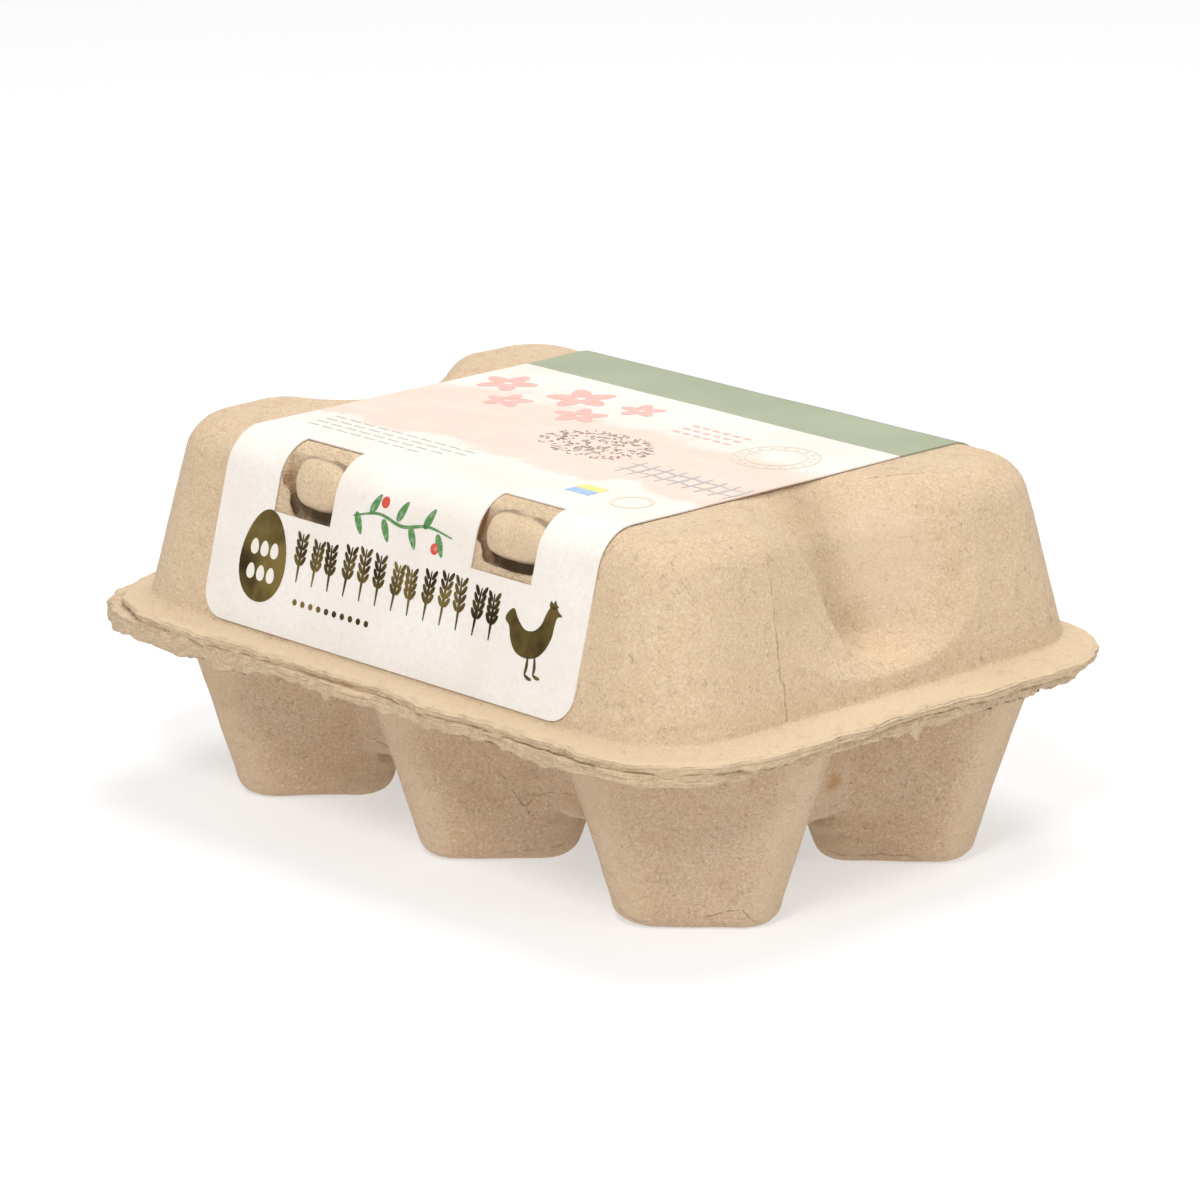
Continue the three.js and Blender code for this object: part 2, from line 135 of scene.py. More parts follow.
# Latch windows, the uneven lips of pulp that show in them, and the knobs
WINDOWS = (
    {"x": -23.7, "lip_left": 2.8, "lip_low": -0.5, "knob_low_z": 57.0},
    {"x": 25.2, "lip_left": 1.0, "lip_low": 1.1, "knob_low_z": 58.1},
)
WINDOW_HALF = 7.2
WINDOW_LOW_Z = 55.8
WINDOW_BACK_Y = -38.4
POCKET_PAST_RIGHT = 1.2
PULP_LIP_BACK = 3.5
PULP_LIP_THICK = 1.1
UNDERCUT = 2.6
LIP_FRONT_Y = -46.1
LIP_ACROSS = ((0.34, 1.9, 40), (0.22, 0.7, 41))
LIP_UP = ((0.3, 1.7, 43), (0.2, 0.6, 44))
POCKET_TOP_Z = 80.0
POCKET_SIDES = 160
POCKET_CORNER_POWER = 0.3
KNOB_MIDDLE_Z = 61.2
KNOB_HIGH_Z = 66.0
KNOB_FRONT_Y = -45.6
KNOB_SIDE_POWER = 3.2
KNOB_LOW_POWER = 3.2
KNOB_HIGH_POWER = 1.7
KNOB_END_SHARE = 0.97
KNOB_RINGS = 48
KNOB_SIDES = 80
KNOB_RELIEF = ((0.14, 4.5, 50), (0.06, 1.6, 51))

# Label
LABEL_LIFT = 0.08
LABEL_THICK = 0.24
LABEL_HALF = 45.4
LABEL_SHIFT = 1.0
LABEL_FRONT_Z = 36.3
LABEL_BACK_Z = 44.0
LABEL_CORNER = 5.0
PRINT_LIFT = 0.035
PRINT_CELL = 3.0
PAPER_WAVES = ((0.06, 16, 80), (0.015, 5, 81))
CORNER_CELLS = 12
CORNER_ZONE = 8.0
BAND_FRONT_Y = 24.4
BAND_BACK_Z = 58.0

# Grid steps
END_STEPS = 40
END_REACH = 28.0
BETWEEN_STEPS = 8
CORNER_STEPS = 26
LONG_STEPS = 66
WALL_STEPS = 64
TOP_STEPS = 30
WALL_SAMPLES = 160
TOP_SAMPLES = 90
FRONT = slice(0, WALL_SAMPLES)
TOP = slice(WALL_SAMPLES - 2, WALL_SAMPLES + TOP_SAMPLES)
BACK = slice(-WALL_SAMPLES, None)

# Camera, fitted to the photograph
CAMERA_AZIMUTH = 46.25
CAMERA_ELEVATION = 16.04
CAMERA_DISTANCE = 952.0
CAMERA_TARGET = (0.615, -0.268, 37.43)
CAMERA_LENS = 167.4

# Light
WORLD_LIGHT = 0.50
FLOOR_GLOW = 0.52
FLOOR_TONE = (0.46, 0.46, 0.46)
LIGHT_TARGET = (0, 0, 0.04)
# Place and size in metres, and power in watts
LIGHTS = {
    "key_light": ((0.45, -0.68, 0.85), 0.3, 6.2),
    "top_light": ((-0.14, 0.28, 1.36), 0.8, 9.5),
    "side_light": ((1.3, 0.25, 0.8), 0.5, 2.6),
}


def lattice(cells, seed):
    """Pseudo-random value from 0 to 1 for each whole-number cell."""
    x, y, z = (cells[:, i] for i in range(3))
    mixed = (x * 73856093) ^ (y * 19349663) ^ (z * 83492791) ^ (seed * 15485863)
    mixed = (mixed ^ (mixed >> 13)) * 1274126177
    mixed = (mixed ^ (mixed >> 16)) & 0xFFFF
    return mixed / 0xFFFF


def noise(points, size, seed=0):
    """Smooth noise from -1 to 1 with bumps one size apart."""
    scaled = np.asarray(points, float) / size
    base = np.floor(scaled).astype(np.int64)
    part = scaled - base
    part = part * part * (3 - 2 * part)
    total = np.zeros(len(scaled))
    for corner in itertools.product((0, 1), repeat=3):
        weight = np.prod(np.where(corner, part, 1 - part), axis=1)
        total += weight * lattice(base + np.array(corner), seed)
    return 2 * total - 1


def noise_layers(points, layers):
    """Sum of noises, each given by its height, its size and its seed."""
    return sum(height * noise(points, size, seed) for height, size, seed in layers)


def smooth_step(low, high, value):
    share = np.clip((value - low) / (high - low), 0, 1)
    return share * share * (3 - 2 * share)


def soft_min(a, b, rounding):
    near = np.maximum(rounding - np.abs(a - b), 0) / rounding
    return np.minimum(a, b) - near * near * rounding / 4


def quarter_inset(share):
    return 1 - np.sqrt(np.maximum(0, 1 - share * share))


# Lid outline

def mirrored(quarter):
    """Whole ring from the quarter between +X and +Y."""
    left = quarter[:-1][::-1] * [-1, 1]
    back = np.concatenate([quarter, left])
    front = back[1:-1][::-1] * [1, -1]
    return np.concatenate([back, front])


def rounded_ring(section):
    """Rounded rectangle whose points stay in step from one height to the next."""
    half_x, half_y, corner = section
    end = [(half_x, y) for y in np.linspace(0, END_REACH, END_STEPS + 1)]
    corner_start = half_y - corner
    for step in range(1, BETWEEN_STEPS):
        end.append((half_x, END_REACH + (corner_start - END_REACH) * step / BETWEEN_STEPS))
    for step in range(CORNER_STEPS + 1):
        angle = math.pi / 2 * step / CORNER_STEPS
        end.append((half_x - corner + corner * math.cos(angle), corner_start + corner * math.sin(angle)))
    for step in range(LONG_STEPS - 1, -1, -1):
        end.append(((half_x - corner) * step / LONG_STEPS, half_y))
    return mirrored(np.array(end))


def inset(section, by):
    return tuple(value - by for value in section)


def between(a, b, share):
    return tuple(p + (q - p) * share for p, q in zip(a, b))


def wall_section(z):
    rounded = max(0.0, (z - (TOP_Z - TOP_ROUND_UP)) / TOP_ROUND_UP)
    section = between(WALL_BASE, WALL_HIGH, (z - WALL_BASE_Z) / (WALL_HIGH_Z - WALL_BASE_Z))
    return inset(section, TOP_ROUND_IN * quarter_inset(min(rounded, 1.0)))


def half_width_at(z, outline):
    """Half width at one height of a U-shaped outline that closes at its tip."""
    half_width, narrow_z, tip_z, power = outline
    share = max(0.0, (narrow_z - z) / (narrow_z - tip_z))
    return half_width * max(0.0, 1 - share ** power) ** (1 / power)


def scoop_back_x(z):
    """Deepest line of the scoop, from its shoulder down its back to its floor."""
    down = max(0.0, (SCOOP_FLOOR_TOP_Z - z) / SCOOP_FLOOR_RISE)
    up = min(1.0, max(0.0, (z - (TOP_Z - SHOULDER_DOWN)) / SHOULDER_DOWN))
    shoulder = SHOULDER_IN * (1 - (1 - up ** SHOULDER_POWER) ** (1 / SHOULDER_POWER))
    return SCOOP_BACK_X + SCOOP_LEAN * (TOP_Z - z) - shoulder + SCOOP_FLOOR_REACH * down ** 3


def end_reach(wall_x, y, z):
    """How far out the lid's end stands at one height, where the scoop draws it in."""
    dish = half_width_at(z, DISH)
    if dish < 0.5:
        return np.full(len(y), wall_x)
    open_share = (dish / DISH[0]) ** 2
    face_x = wall_x - DISH_DEPTH * open_share * np.maximum(0, 1 - (y / dish) ** 2)
    flare = FLARE_OUT * max(0.0, (z - FLARE_Z) / FLARE_RISE) ** FLARE_POWER
    bank = max(0.5, half_width_at(z, BANK) + flare)
    side = np.where(y < 0, (np.abs(y) / bank) ** BANK_POWER, (np.abs(y) / dish) ** SLOPE_POWER)
    side_x = wall_x + SCOOP_OVERSHOOT
    deep = min(side_x, scoop_back_x(z))
    scoop_x = deep + (side_x - deep) * side + SCOOP_OVERSHOOT * np.maximum(0, side - 1)
    up = np.clip((z - SCOOP_ROUND_ZS[0]) / (SCOOP_ROUND_ZS[1] - SCOOP_ROUND_ZS[0]), 0, 1)
    rounding = between(SCOOP_ROUNDS, SCOOP_ROUNDS[::-1], up)[0] * min(1.0, dish / SCOOP_TIP_FADE)
    return soft_min(scoop_x, face_x, rounding)


def wall_ring(z):
    section = wall_section(z)
    ring = rounded_ring(section)
    on_end = (np.abs(ring[:, 1]) <= END_REACH + 1e-6) & (np.abs(ring[:, 0]) > section[0] - 1e-6)
    reach = end_reach(section[0], ring[on_end, 1], z)
    ring[on_end, 0] = np.sign(ring[on_end, 0]) * reach
    return ring


def at_height(ring, z):
    return np.column_stack([ring, np.full(len(ring), z)])


def respace(path, steps):
    """Evenly spaced points along a path, its ends kept."""
    along = np.concatenate([[0], np.cumsum(np.linalg.norm(np.diff(path, axis=0), axis=1))])
    targets = np.linspace(0, along[-1], steps + 1)
    return np.column_stack([np.interp(targets, along, path[:, axis]) for axis in range(3)])


def wall_rings():
    samples = np.array([at_height(wall_ring(z), z) for z in np.linspace(WALL_BASE_Z, TOP_Z, 300)])
    columns = [respace(samples[:, column], WALL_STEPS) for column in range(samples.shape[1])]
    return np.array(columns).transpose(1, 0, 2)


def torn(ring, depth, phase):
    """Slow wave of a torn rim, as the solids have it."""
    angle = np.arctan2(ring[:, 1], ring[:, 0])
    hinge = (ring[:, 1] > 0) & (np.abs(ring[:, 0]) < HINGE_HALF_LENGTH + 3)
    wave = np.sin(7 * angle + phase) + 0.7 * np.sin(13 * angle + 2.1 * phase)
    scale = 1 - np.where(hinge, 0, 1) * depth * (1.7 + wave) / np.hypot(ring[:, 0], ring[:, 1])
    return ring * scale[:, None]


def lid_rim_ring(by=0.0):
    return torn(rounded_ring(inset(LID_RIM, by)), TORN_DEPTH, LID_TORN_PHASE)


def tray_rim_ring(by=0.0):
    return torn(rounded_ring(inset(TRAY_RIM, by)), TORN_DEPTH, TRAY_TORN_PHASE) + np.array(TRAY_RIM_SHIFT)


def rounded_edge(low_z, height, steps, bulge):
    """Height and inset of the rings up a rim's rounded edge."""
    return [(low_z + height * step / steps, bulge - bulge * math.sin(math.pi * step / steps))
            for step in range(steps + 1)]


def along_hinge(points):
    """1 along the fold at the back, fading out past its ends."""
    x, y = points[:, 0], points[:, 1]
    return smooth_step(HINGE_HALF_LENGTH + 5, HINGE_HALF_LENGTH - 2, np.abs(x)) * (y > 0)


# Meshes

def loft_faces(levels, count):
    """Quads between rings of equally many points."""
    index = np.arange(levels * count).reshape(levels, count)
    right = np.roll(index, -1, axis=1)
    quads = np.stack([index[:-1], right[:-1], right[1:], index[1:]], axis=-1)
    return quads.reshape(-1, 4)


def loft(rings):
    """Closed mesh through rings, with a fan at either end."""
    rings = np.asarray(rings, float)
    levels, count = rings.shape[:2]
    points = np.concatenate([rings.reshape(-1, 3), [rings[0].mean(0)], [rings[-1].mean(0)]])
    faces = loft_faces(levels, count).tolist()
    low, high = levels * count, levels * count + 1
    last = (levels - 1) * count
    for i in range(count):
        j = (i + 1) % count
        faces.append([low, j, i])
        faces.append([high, last + i, last + j])
    return points, faces


def add_mesh(name, points, faces, smooth=True):
    """Object whose mesh is given in the lid's frame, in millimetres."""
    mesh = bpy.data.meshes.new(name)
    placed = (np.asarray(points, float) + AXIS) * MM
    mesh.from_pydata(placed.tolist(), [], [list(face) for face in faces])
    mesh.validate()
    mesh.update()
    if smooth:
        mesh.shade_smooth()
    piece = bpy.data.objects.new(name, mesh)
    bpy.context.scene.collection.objects.link(piece)
    return piece


def points_of(piece):
    flat = np.empty(len(piece.data.vertices) * 3, np.float32)
    piece.data.vertices.foreach_get("co", flat)
    return flat.reshape(-1, 3).astype(float) / MM - AXIS


def normals_of(piece):
    flat = np.empty(len(piece.data.vertices) * 3, np.float32)
    piece.data.vertex_normals.foreach_get("vector", flat)
    return flat.reshape(-1, 3).astype(float)


def set_points(piece, points):
    flat = ((points + AXIS) * MM).astype(np.float32).ravel()
    piece.data.vertices.foreach_set("co", flat)
    piece.data.update()


def set_values(piece, **fields):
    """Keep one number per point for each field, for the materials to read; a field left out reads as 0."""
    for name, values in fields.items():
        attribute = piece.data.attributes.new(name, "FLOAT", "POINT")
        attribute.data.foreach_set("value", np.asarray(values, np.float32))


def apply_modifiers(piece):
    graph = bpy.context.evaluated_depsgraph_get()
    made = bpy.data.meshes.new_from_object(piece.evaluated_get(graph))
    piece.modifiers.clear()
    piece.data = made


def combine(piece, other, operation):
    """Boolean with another closed object, which is used up."""
    change = piece.modifiers.new("combine", "BOOLEAN")
    change.operation = operation
    change.solver = "MANIFOLD"
    change.object = other
    apply_modifiers(piece)
    bpy.data.objects.remove(other)


def finish_piece(piece, slot_name, material, *nodes):
    piece.data.materials.clear()
    piece.data.materials.append(material)
    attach(piece, "root")
    if nodes:
        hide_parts(*nodes)


# Lines where the pulp has cracked or creased

LID_CRACKS = [
    [(63.3, -23.6, 60.4), (64.7, -24.0, 54.1), (66.0, -24.4, 47.8), (66.8, -24.5, 43.7)],
    [(67.3, -24.1, 41.3), (68.1, -24.4, 37.6)],
    [(51.2, 13.7, 66.4), (53.2, 17.3, 66.6), (56.3, 21.4, 66.7)],
    [(65.4, 40.1, 44.6), (66.4, 40.0, 40.5)],
]
LID_RIDGE = [(63.6, 32.7, 60.5), (64.9, 31.7, 53.2), (66.4, 30.6, 45.8)]


def crack_fields(points, normals, paths, fade=2.5):
    """Signed distance to the nearest line, and how much of it shows at each point."""
    best = np.full(len(points), 1e9)
    side = np.full(len(points), 1e3)
    for path in paths:
        for start, end in zip(path[:-1], path[1:]):
            start, end = np.array(start), np.array(end)
            along = end - start
            length = np.linalg.norm(along)
            share = np.clip((points - start) @ along / length ** 2, 0, 1)
            away = points - (start + share[:, None] * along)
            distance = np.linalg.norm(away, axis=1)
            across = np.cross(along / length, normals)
            nearer = distance < best
            best = np.where(nearer, distance, best)
            side = np.where(nearer, np.einsum("ij,ij->i", across, away), side)
    return side, 1 - smooth_step(0.5 * fade, fade, best)


# Lid

def lid_rim_profile():
    """Height and inset of the rim's rings, from under the rim up its torn edge and over its lip."""
    under = [(SEAM_Z + GAP, by) for by in (9.0, 4.0, 2.0, 1.0)]
    edge = rounded_edge(SEAM_Z + GAP, 1.25, 11, 0.42)
    lip = [(LID_RIM_TOP_Z - 0.12, 0.55), (LID_RIM_TOP_Z - 0.04, 0.8), (LID_RIM_TOP_Z, 1.1),
           (LID_RIM_TOP_Z, LIP_INSET)]
    return under + edge + lip


def make_lid_mesh():
    rings = [at_height(lid_rim_ring(by), z) for z, by in lid_rim_profile()]
    for share in SHELF_SHARES:
        ring = rounded_ring(between(inset(LID_RIM, LIP_INSET), WALL_BASE, share))
        z = LID_RIM_TOP_Z + (WALL_BASE_Z - LID_RIM_TOP_Z) * share ** SHELF_POWER
        rings.append(at_height(torn(ring, TORN_DEPTH * (1 - share) ** 1.5, LID_TORN_PHASE), z))
    rings.extend(wall_rings())
    top = rings[-1]
    for step in range(1, TOP_STEPS):
        ring = top.copy()
        ring[:, :2] *= 1 - step / TOP_STEPS
        rings.append(ring)
    return loft(rings)


def ring_weights(field, count):
    """Weights given ring by ring, spread over the points of the rings."""
    per_ring = len(rounded_ring(LID_RIM))
    values = np.zeros(count)
    values[:len(field) * per_ring] = np.repeat(field, per_ring)
    return values


def tear(points, normals, weight, layered, low_z, seed):
    """Ragged outline and thin laminations on a torn edge."""
    flat = points * [1, 1, 0]
    outward = normals * [1, 1, 0]
    outward /= np.maximum(np.linalg.norm(outward, axis=1), 1e-6)[:, None]
    ragged = 0.42 * noise(flat, 3.1, seed) + 0.36 * noise(points * [1, 1, 0.8], 1.2, seed + 1)
    layer = (points[:, 2] - low_z) / LAYER_THICK + 0.8 * noise(flat, 9.0, seed + 2)
    whole = np.floor(layer)
    cells = np.column_stack([whole, 0 * whole, 0 * whole]).astype(np.int64)
    lamination = LAYER_SHIFT * lattice(cells, seed)
    crease = -LAYER_CREASE * np.exp(-((layer - whole - 0.5) / 0.16) ** 2)
    shift = weight * ragged + layered * (lamination + crease)
    hanging = noise_layers(flat, ((1, 3.4, seed + 4), (0.6, 1.3, seed + 5))) - 0.1
    sag = -0.38 - 0.7 * np.maximum(0, hanging)
    bottom = 1 - smooth_step(low_z, low_z + 0.5, points[:, 2])
    moved = points + outward * shift[:, None]
    moved[:, 2] += sag * weight * bottom
    return moved


def make_lid():
    points, faces = make_lid_mesh()
    lid = add_mesh("lid_pulp", points, faces)
    points, normals = points_of(lid), normals_of(lid)
    ragged, layered = (ring_weights(field, len(points)) for field in (LID_RAGGED, LID_LAYERED))
    relief = lid_relief(points, normals) * (1 - 0.6 * ragged)
    points = points + normals * relief[:, None]
    free = 1 - along_hinge(points)
    points = tear(points, normals, ragged * free, layered * free, SEAM_Z + GAP, 20)
    set_points(lid, points)
    combine(lid, make_hinge_fold(), "UNION")
    for window in WINDOWS:
        combine(lid, make_pocket(window), "DIFFERENCE")
    lid.data.shade_smooth()
    paint_lid(lid)
    finish_piece(lid, "lid_pulp", pulp_material("lid_pulp_felt", LID_TONE), "lid")


def lid_relief(points, normals):
    """Unevenness of the pulp, calmer under the label, with the low ridge on the back lobe."""
    relief = noise_layers(points, LID_RELIEF)
    across_ridge, on_ridge = crack_fields(points, normals, [LID_RIDGE], 4.0)
    relief += RIDGE_HEIGHT * on_ridge * np.exp(-(across_ridge / RIDGE_HALF) ** 2)
    label_zone = smooth_step(LABEL_HALF + 1.5, LABEL_HALF - 1.5, np.abs(points[:, 0] - LABEL_SHIFT))
    calm = 1 - 0.9 * label_zone * (points[:, 2] > LABEL_FRONT_Z - 1)
    under = points[:, 2] < SEAM_Z + GAP + 0.05
    return np.where(under, 0, relief * calm)


def paint_lid(lid):
    points, normals = points_of(lid), normals_of(lid)
    z = points[:, 2]
    edge = 1 - smooth_step(SEAM_Z + 0.9, LID_RIM_TOP_Z - 0.2, z)
    # The windows' pockets get painted shade under the knobs.
    pocket, dark, stain = window_tears_and_shade(points)
    # The scoop gets painted shade in its fold and painted light on its dish.
    valley, dish = scoop_shade_and_light(points)
    side, near = crack_fields(points, normals, LID_CRACKS)
    # The lid's whole flange is painted an even, paler and warmer tone: painted light for a surface that faces
    # up.
    set_values(lid, rim=1 - smooth_step(LID_RIM_TOP_Z, WALL_BASE_Z + 0.8, z), torn=np.maximum(edge, pocket),
               dark=dark, stain=stain, valley=valley, dish=dish, crack_side=side, crack_near=near)


def window_tears_and_shade(points):
    """Where the pulp is torn at the windows, and the painted shade and the stains behind their lips."""
    x, y, z = points.T
    pocket, dark, stain = (np.zeros(len(points)) for _ in range(3))
    depth = y - np.interp(z, PROFILE[FRONT, 1], PROFILE[FRONT, 0])
    streaks = noise(points * (1, 1, 3.0), 1.5, 91)
    patches = 0.85 + 0.5 * noise(points, 2.2, 92)
    for window in WINDOWS:
        away = np.abs(x - window["x"])
        front = y < WINDOW_BACK_Y + 1
        pocket[(away < WINDOW_HALF + 1) & (z > WINDOW_LOW_Z - 1) & front] = 1
        behind = (away < WINDOW_HALF + UNDERCUT + POCKET_PAST_RIGHT) & (depth > 0.5) & front
        # Painted shade in the pocket under the knob's belly, stronger the deeper in it lies
        under_knob = patches * smooth_step(window["knob_low_z"] + 1.8, window["knob_low_z"] + 0.2, z)
        shade = 0.58 * smooth_step(0.6, PULP_LIP_THICK + 1.6, depth) * under_knob
        dark = np.where(behind, np.clip(shade, dark, 0.7), dark)
        stain = np.where(behind, 0.60 * smooth_step(-0.2, 0.3, streaks) * (1 - 0.5 * under_knob), stain)
    return pocket, dark, stain


def scoop_shade_and_light(points):
    """How much painted shade each point takes in the fold behind the bank, and how much painted light on the
    paler dish beside it.
    """
    x, y, all_z = points.T
    z = np.clip(all_z, WALL_BASE_Z, TOP_Z)
    heights = np.linspace(WALL_BASE_Z, TOP_Z, 80)
    wall_x = np.interp(z, heights, [wall_section(height)[0] for height in heights])
    depth = wall_x - np.abs(x)
    deep = smooth_step(3.5, 8.5, depth) * (all_z > WALL_BASE_Z) * (all_z < TOP_Z - 0.4)
    high = smooth_step(58, 64, z)
    middle = SHADED_VALLEY_Y + 1.5 * smooth_step(60, 65, z) + 2.5 * smooth_step(52, 45, z)
    valley = deep * np.exp(-((y - middle) / (SHADED_VALLEY_HALF + 2.4 * high)) ** 2) * (1 + 0.25 * high)
    from_lit_dish = np.hypot((y - LIT_DISH_MIDDLE[0]) / LIT_DISH_HALVES[0], (all_z - LIT_DISH_MIDDLE[1]) / LIT_DISH_HALVES[1])
    dish = smooth_step(1.5, 5.0, depth) * (1 - smooth_step(0.55, 1.15, from_lit_dish)) * (1 - valley)
    return valley, dish


def make_hinge_fold():
    """Fold along the back that joins lid and tray."""
    low, top = HINGE_LOW_Z, LID_RIM_TOP_Z
    profile = [(-1.5, low), (-0.9, low - 0.08), (-0.35, low + 0.1), (0, low + 0.9), (0.05, 33.2),
               (0, top - 0.9), (-0.25, top - 0.3), (-0.8, top), (-2.2, top - 0.2),
               (-2.2, SEAM_Z + GAP + 0.3), (-1.5, SEAM_Z + GAP)]
    rings = []
    for x in np.linspace(-HINGE_HALF_LENGTH, HINGE_HALF_LENGTH, 121):
        end = smooth_step(HINGE_HALF_LENGTH, HINGE_HALF_LENGTH - 4, abs(x))
        rings.append([(x, HINGE_OUT - 1.1 * (1 - end) + out, z) for out, z in profile])
    points, faces = loft(rings)
    points[:, 1] += 0.12 * noise(points, 5, 31)
    return add_mesh("hinge_fold", points, faces)


def pocket_sides(window):
    return window["x"] - WINDOW_HALF + window["lip_left"], window["x"] + WINDOW_HALF + POCKET_PAST_RIGHT


def make_pocket(window):
    """Cutter with a torn outline that opens the lid behind one window, wider behind the lips."""
    left, right = pocket_sides(window)
    low, back = WINDOW_LOW_Z + window["lip_low"], WINDOW_BACK_Y - PULP_LIP_BACK
    behind_lip = LIP_FRONT_Y + PULP_LIP_THICK
    through_lip = np.linspace(LIP_FRONT_Y - 0.5, behind_lip, 9)
    rings = []
    for y in [-60, -50, -47, *through_lip, *np.linspace(behind_lip + 0.15, back, 8)]:
        wider = UNDERCUT * smooth_step(behind_lip - 0.1, behind_lip + 0.3, y)
        middle, half = (left - wider + right) / 2, (right - left + wider) / 2
        ring = []
        for step in range(POCKET_SIDES):
            angle = 2 * math.pi * step / POCKET_SIDES
            across, up = (signed_power(v, POCKET_CORNER_POWER) for v in (math.cos(angle), math.sin(angle)))
            z = low - wider + (POCKET_TOP_Z - low + wider) * (up + 1) / 2
            ring.append((middle + half * across, y, z))
        rings.append(ring[::-1])
    points, faces = loft(rings)
    at_lip = np.abs(points[:, 1] + 45.5) < 4
    points[:, 0] += at_lip * noise_layers(points, LIP_ACROSS)
    lower = points[:, 2] < KNOB_MIDDLE_Z
    points[:, 2] += lower * at_lip * noise_layers(points, LIP_UP)
    return add_mesh("pocket_cutter", points, faces)


def signed_power(value, power):
    return math.copysign(abs(value) ** power, value)


# Latch knobs

def make_knob(name, window):
    back_y = WINDOW_BACK_Y - PULP_LIP_BACK - GAP
    left, right = pocket_sides(window)
    middle, half = (left + right) / 2, (right - left) / 2 - GAP
    rings = []
    for step in range(KNOB_RINGS + 1):
        across = -math.cos(math.pi * step / KNOB_RINGS)
        reach = (1 - KNOB_END_SHARE * abs(across) ** KNOB_SIDE_POWER) ** (1 / KNOB_SIDE_POWER)
        rings.append(knob_ring(middle + across * half, back_y, reach, window["knob_low_z"]))
    points, faces = loft(rings)
    points[:, 1] += noise_layers(points, KNOB_RELIEF)
    points[:, 2] += 0.12 * noise(points, 3.5, 52)
    knob = add_mesh(name + "_pulp", points, faces)
    # Painted shade under the knob's belly, and a painted dark slit of shade along its top where it meets the
    # pocket's back wall
    low = 0.55 * (1 - smooth_step(window["knob_low_z"], window["knob_low_z"] + 1.2, points[:, 2]))
    slit_shade = smooth_step(back_y - 1.15, back_y - 0.55, points[:, 1]) * smooth_step(63.0, 64.4, points[:, 2])
    slit_shade *= 0.6 * smooth_step(-0.6, 0.0, noise(points, 2.6, 53))
    set_values(knob, rim=np.full(len(points), 0.15), dark=np.maximum(low, slit_shade))
    finish_piece(knob, "lid_pulp", pulp_material(name + "_felt", LID_TONE), name)


def knob_ring(x, back_y, reach, low_z):
    """Section of a knob at x, rounder over its top than under its belly."""
    ring = []
    for side in range(KNOB_SIDES):
        angle = 2 * math.pi * (side + 0.5) / KNOB_SIDES
        upper = math.sin(angle) > 0
        power = KNOB_HIGH_POWER if upper else KNOB_LOW_POWER
        height = KNOB_HIGH_Z - KNOB_MIDDLE_Z if upper else KNOB_MIDDLE_Z - low_z
        c, s = (signed_power(v, 2 / power) for v in (math.cos(angle), math.sin(angle)))
        deep = max(-0.15, (back_y - KNOB_FRONT_Y) * reach * c)
        ring.append((x, back_y - deep, KNOB_MIDDLE_Z + height * reach * s))
    return ring[::-1]


# Tray

def foot_ring(side, corner, z, x, y):
    ring = []
    for quarter in range(4):
        turn = quarter * math.pi / 2
        for step in range(13):
            angle = turn + math.pi / 2 * step / 12 - math.pi / 4
            reach = math.sqrt(2) * (side - corner)
            ring.append((x + reach * math.cos(turn) + corner * math.cos(angle),
                         y + reach * math.sin(turn) + corner * math.sin(angle), z))
    return ring


def foot_mesh(x, y):
    rings = []
    for z in FOOT_RING_ZS:
        drawn_in = FOOT_BASE_ROUND * quarter_inset(max(0.0, (FOOT_BASE_ROUND - z) / FOOT_BASE_ROUND))
        corner = FOOT_CORNERS[0] + (FOOT_CORNERS[1] - FOOT_CORNERS[0]) * z / FOOT_TOP_Z
        rings.append(foot_ring(FOOT_SIDE + FOOT_DRAFT * z - drawn_in, max(2.0, corner - drawn_in), z, x, y))
    return loft(rings)


def web_mesh(start, end):
    """Drafted wall between two neighbouring cells."""
    low, high = WEB_HALVES
    profile = [(-low, WEB_Z + 1.2), (-low + 1.5, WEB_Z), (low - 1.5, WEB_Z), (low, WEB_Z + 1.2),
               (high, SEAM_Z - 0.6), (-high, SEAM_Z - 0.6)]
    start, end = np.array(start), np.array(end)
    along = (end - start) / np.linalg.norm(end - start)
    across = np.array([-along[1], along[0]])
    rings = []
    for share in (0, 1):
        middle = start + (end - start) * share
        rings.append([(*(middle + across * side), z) for side, z in profile])
    return loft(rings)


def tray_shells():
    cell = {(c, r): (c * CELL_PITCH_X, r * CELL_PITCH_Y) for c in CELL_COLUMNS for r in CELL_ROWS}
    shells = [foot_mesh(*place) for place in cell.values()]
    for row in CELL_ROWS:
        shells.extend(web_mesh(cell[c, row], cell[c + 1, row]) for c in CELL_COLUMNS[:-1])
    shells.extend(web_mesh(cell[c, CELL_ROWS[0]], cell[c, CELL_ROWS[1]]) for c in CELL_COLUMNS)
    plate = rounded_ring(inset(TRAY_RIM, 4.0)) + np.array(TRAY_RIM_SHIFT)
    shells.append(loft([at_height(plate, z) for z in (TRAY_RIM_LOW_Z + 0.1, SEAM_Z - 0.15)]))
    return shells


def joined(shells):
    points, faces = [], []
    for shell_points, shell_faces in shells:
        offset = sum(len(p) for p in points)
        points.append(np.asarray(shell_points))
        faces.extend([[i + offset for i in face] for face in shell_faces])
    return np.concatenate(points), faces


def make_tray():
    points, faces = joined(tray_shells())
    tray = add_mesh("tray_cells", points, faces)
    remesh = tray.modifiers.new("fuse", "REMESH")
    remesh.mode = "VOXEL"
    remesh.voxel_size = TRAY_VOXEL * MM
    soften = tray.modifiers.new("soften", "SMOOTH")
    soften.factor = 0.5
    soften.iterations = 3
    apply_modifiers(tray)
    tray.data.shade_smooth()
    points, normals = points_of(tray), normals_of(tray)
    crumple = web_end_weight(points)
    points = points + normals * tray_relief(points, crumple)[:, None]
    points[:, 2] = np.clip(points[:, 2], 0, SEAM_Z - 0.1)
    set_points(tray, points)
    paint_tray(tray, crumple)
    finish_piece(tray, "tray_pulp", pulp_material("tray_pulp_felt", TRAY_TONE), "tray")


